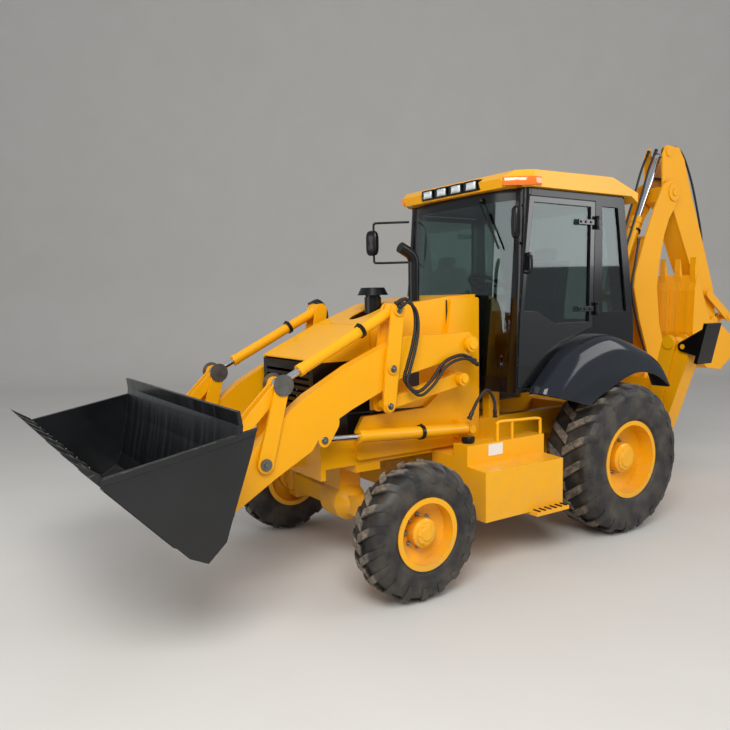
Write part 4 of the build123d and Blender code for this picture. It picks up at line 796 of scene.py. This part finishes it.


# ---- engine and cowl ----------------------------------------------------------------------
# The engine is a plain painted block. Each side of the cowl carries a black strip of painted shade
# where a slot is, a dark panel, a patch of punched mesh with painted shade in its holes, and a rubber
# edge along its foot.
def punched_mesh():
    """Sheet with round holes 7 mm apart painted as dots of shade: a hole is where sin(k y) sin(k z) is high,
    k = pi / 7 mm.
    """
    material, tree = new_material("dark_mesh_and_painted_hole_shade")
    along = [part_of(tree, object_place(tree), letter) for letter in "YZ"]
    waves = [combine(tree, "SINE", combine(tree, "MULTIPLY", distance, 449.0)) for distance in along]
    hole_shade_mask = remap(tree, combine(tree, "MULTIPLY", *waves), (0.15, 0.35))
    # painted shade: the holes are coloured near black for the shaded inside seen through them
    return finished(material, {"Base Color": blend(tree, hole_shade_mask, "3A3C3E", "050505"), "Roughness": 0.45})


def even(name, code, roughness):
    """Material of one colour and gloss all over."""
    return finished(new_material(name)[0], {"Base Color": srgb(code), "Roughness": roughness})


coat(enamel("painted_casting", "2B2C2D", "232425", 0.5, 0.6), "engine_block")
COWL_SIDE = 379
trims_and_slot_shade, meshes = [], []
for sign in (1, -1):
    skin_x = sign * COWL_SIDE
    face = (skin_x, skin_x + sign * 3)
    # a thin upright black strip: painted shade of a slot in the cowl's side
    trims_and_slot_shade.append(slab_box(face, (770, 786), (1777, 2055), 1))
    trims_and_slot_shade.append(slab_box(face, (705, 850), (1640, 1712), 1))
    meshes.append(slab_box(face, (368, 494), (1388, 1498), 1))
    foot_edge = [(skin_x, y, z) for y, z in ((-210, 1238), (180, 1226), (531, 1216), (640, 1290), (690, 1360),
                                             (717, 1525))]
    trims_and_slot_shade.append(swept(smooth_line(foot_edge, 6), 9))
make_piece("cowl_trim_and_slot_shade", trims_and_slot_shade, even("black_trim_and_painted_slot_shade", "141516", 0.6), "chassis", 30)
make_piece("cowl_mesh", meshes, punched_mesh(), "chassis", 30)


# ---- tank sides ---------------------------------------------------------------------------
# On each side: a filler cap on the tank's top, cleats on the step, a blank plate on the tank's
# outer face, and a grab rail of bent bar with a post at its middle.
TANK_TOP, TANK_SIDE, STEP_LEVEL = 955, 800, 425
filler_cap = [(-6, 0), (-6, 44), (10, 44), (14, 52), (44, 52), (52, 44), (52, 0)]
cap_shapes, plates, rails = [], [], []
for sign in (1, -1):
    cap_shapes.append(spun(filler_cap, (sign * 700, 717, TANK_TOP), (0, 0, 1), 32))
    for y in range(1110, 1411, 60):
        levels = (STEP_LEVEL - 2, STEP_LEVEL + 9)
        cap_shapes.append(slab_box((sign * 1004, sign * 1072), (y, y + 14), levels, 2))
    plates.append(slab_box((sign * TANK_SIDE, sign * (TANK_SIDE + 3)), (835, 985), (852, 942), 1))
    x = sign * (TANK_SIDE - 20)
    rail = [(x, y, z) for y, z in ((950, 940), (950, 1060), (968, 1102), (1180, 1096), (1400, 1086),
                                   (1425, 1050), (1425, 940))]
    rails.append(swept(smooth_line(rail, 5), 13, 14))
    rails.append(swept([(x, 1108, 940), (x, 1108, 1098)], 12, 12))
make_piece("tank_caps_and_cleats", cap_shapes, black_enamel, "chassis", 30)
make_piece("blank_plates", plates, even("blank_white_plate", "E4E3DD", 0.35), "chassis", 30)
make_piece("grab_rails", rails, yellow_enamel, "chassis", 40)


# ---- hydraulic hoses ----------------------------------------------------------------------
# Hose in smooth black rubber, 22 to 26 mm over the cover, with crimped ends and hexagon fittings.
# Those on the loader arms and the chassis wear a wound plastic guard.
hose_rubber = filmed("hose_rubber", "17181A", 14.0, (0.35, 0.6))
lever_loop = [(106, 2042), (178, 2069), (250, 2003), (266, 1878), (237, 1732), (189, 1588), (160, 1494),
              (214, 1416), (297, 1387), (412, 1460), (539, 1588), (709, 1632), (833, 1585)]
second_loop = [(y + 8, z - 26) for y, z in lever_loop]
low_loop = [(783, 1143), (867, 1270), (963, 1341), (1038, 1254), (1049, 1131)]
# hose: body it is clipped to, outward place, route (rearwards, up), radius
hose_runs = [("loader_arms", 638, lever_loop, 13), ("loader_arms", 662, second_loop, 11),
             ("loader_arms", -638, lever_loop, 13), ("loader_arms", -662, second_loop, 11),
             ("chassis", 650, low_loop, 13), ("chassis", -650, low_loop, 13)]
barrel_run = [(3976, 3596), (3860, 3397), (3748, 3127), (3600, 2790), (3430, 2420)]
boom_run = [(3556, 2635), (3497, 2378), (3450, 2122), (3560, 1760), (3730, 1400)]
boom_loop = [(4100, 3340), (4306, 3330), (4330, 3200), (4290, 3080)]
dipper_run = [(4180, 3640), (4300, 3660), (4440, 3580), (4600, 3330), (4735, 3000), (4820, 2740),
              (4840, 2580)]
for x in (-46, 46):
    hose_runs += [("dipper_barrel", x, barrel_run, 12), ("boom", x * 1.6, boom_loop, 12),
                  ("dipper", x * 1.5, dipper_run, 12), ("boom", x * 3.4, boom_run, 12)]
GUARD_PITCH = 18
for number, (body, x, route, radius) in enumerate(hose_runs):
    points = [(x, y, z) for y, z in route]
    line = smooth_line(points, 7)
    if body in ("loader_arms", "chassis"):
        # the guard: radius = r (1 + 0.13 sin(2 pi s / pitch)) at the distance s along the hose
        fine = smooth_line(points, 36)
        gone = np.concatenate([[0], np.cumsum(np.linalg.norm(np.diff(fine, axis=0), axis=1))])
        shapes = [swept(fine, radius * (1 + 0.13 * np.sin(2 * math.pi * gone / GUARD_PITCH)), 10)]
    else:
        shapes = [swept(line, radius)]
    ferrule = [(-45, radius), (-45, radius + 4), (-8, radius + 4), (-6, radius + 1), (6, radius + 1), (6, 0)]
    hexagon = [(0, 0), (0, radius + 7), (16, radius + 7), (16, 0)]
    for tip, inner_point in ((line[0], line[2]), (line[-1], line[-3])):
        axis = tip - inner_point
        shapes.append(spun(ferrule, tip, axis, 16))
        shapes.append(spun(hexagon, tip + axis / np.linalg.norm(axis) * 2, axis, 6))
    make_piece(f"hose_{number:02d}_{body}", shapes, hose_rubber, body, 40)


# ---- bucket edge bolts --------------------------------------------------------------------
# Pairs of plough bolts hold the cutting edge, spread evenly across the bucket between places 40 mm
# in from either end.
BUCKET_WIDTH, END_GAP, PAIRS = 2270, 40, 8
edge_bolts = []
for middle in np.linspace(END_GAP - BUCKET_WIDTH / 2, BUCKET_WIDTH / 2 - END_GAP, PAIRS):
    for aside, z in ((-7.5, 1180), (7.5, 1170)):
        edge_bolts += bolt_head((middle + aside, -2085, z), (0, -0.7, 0.7), 11)
make_piece("edge_bolts", edge_bolts, zinc, "loader_bucket", 30)
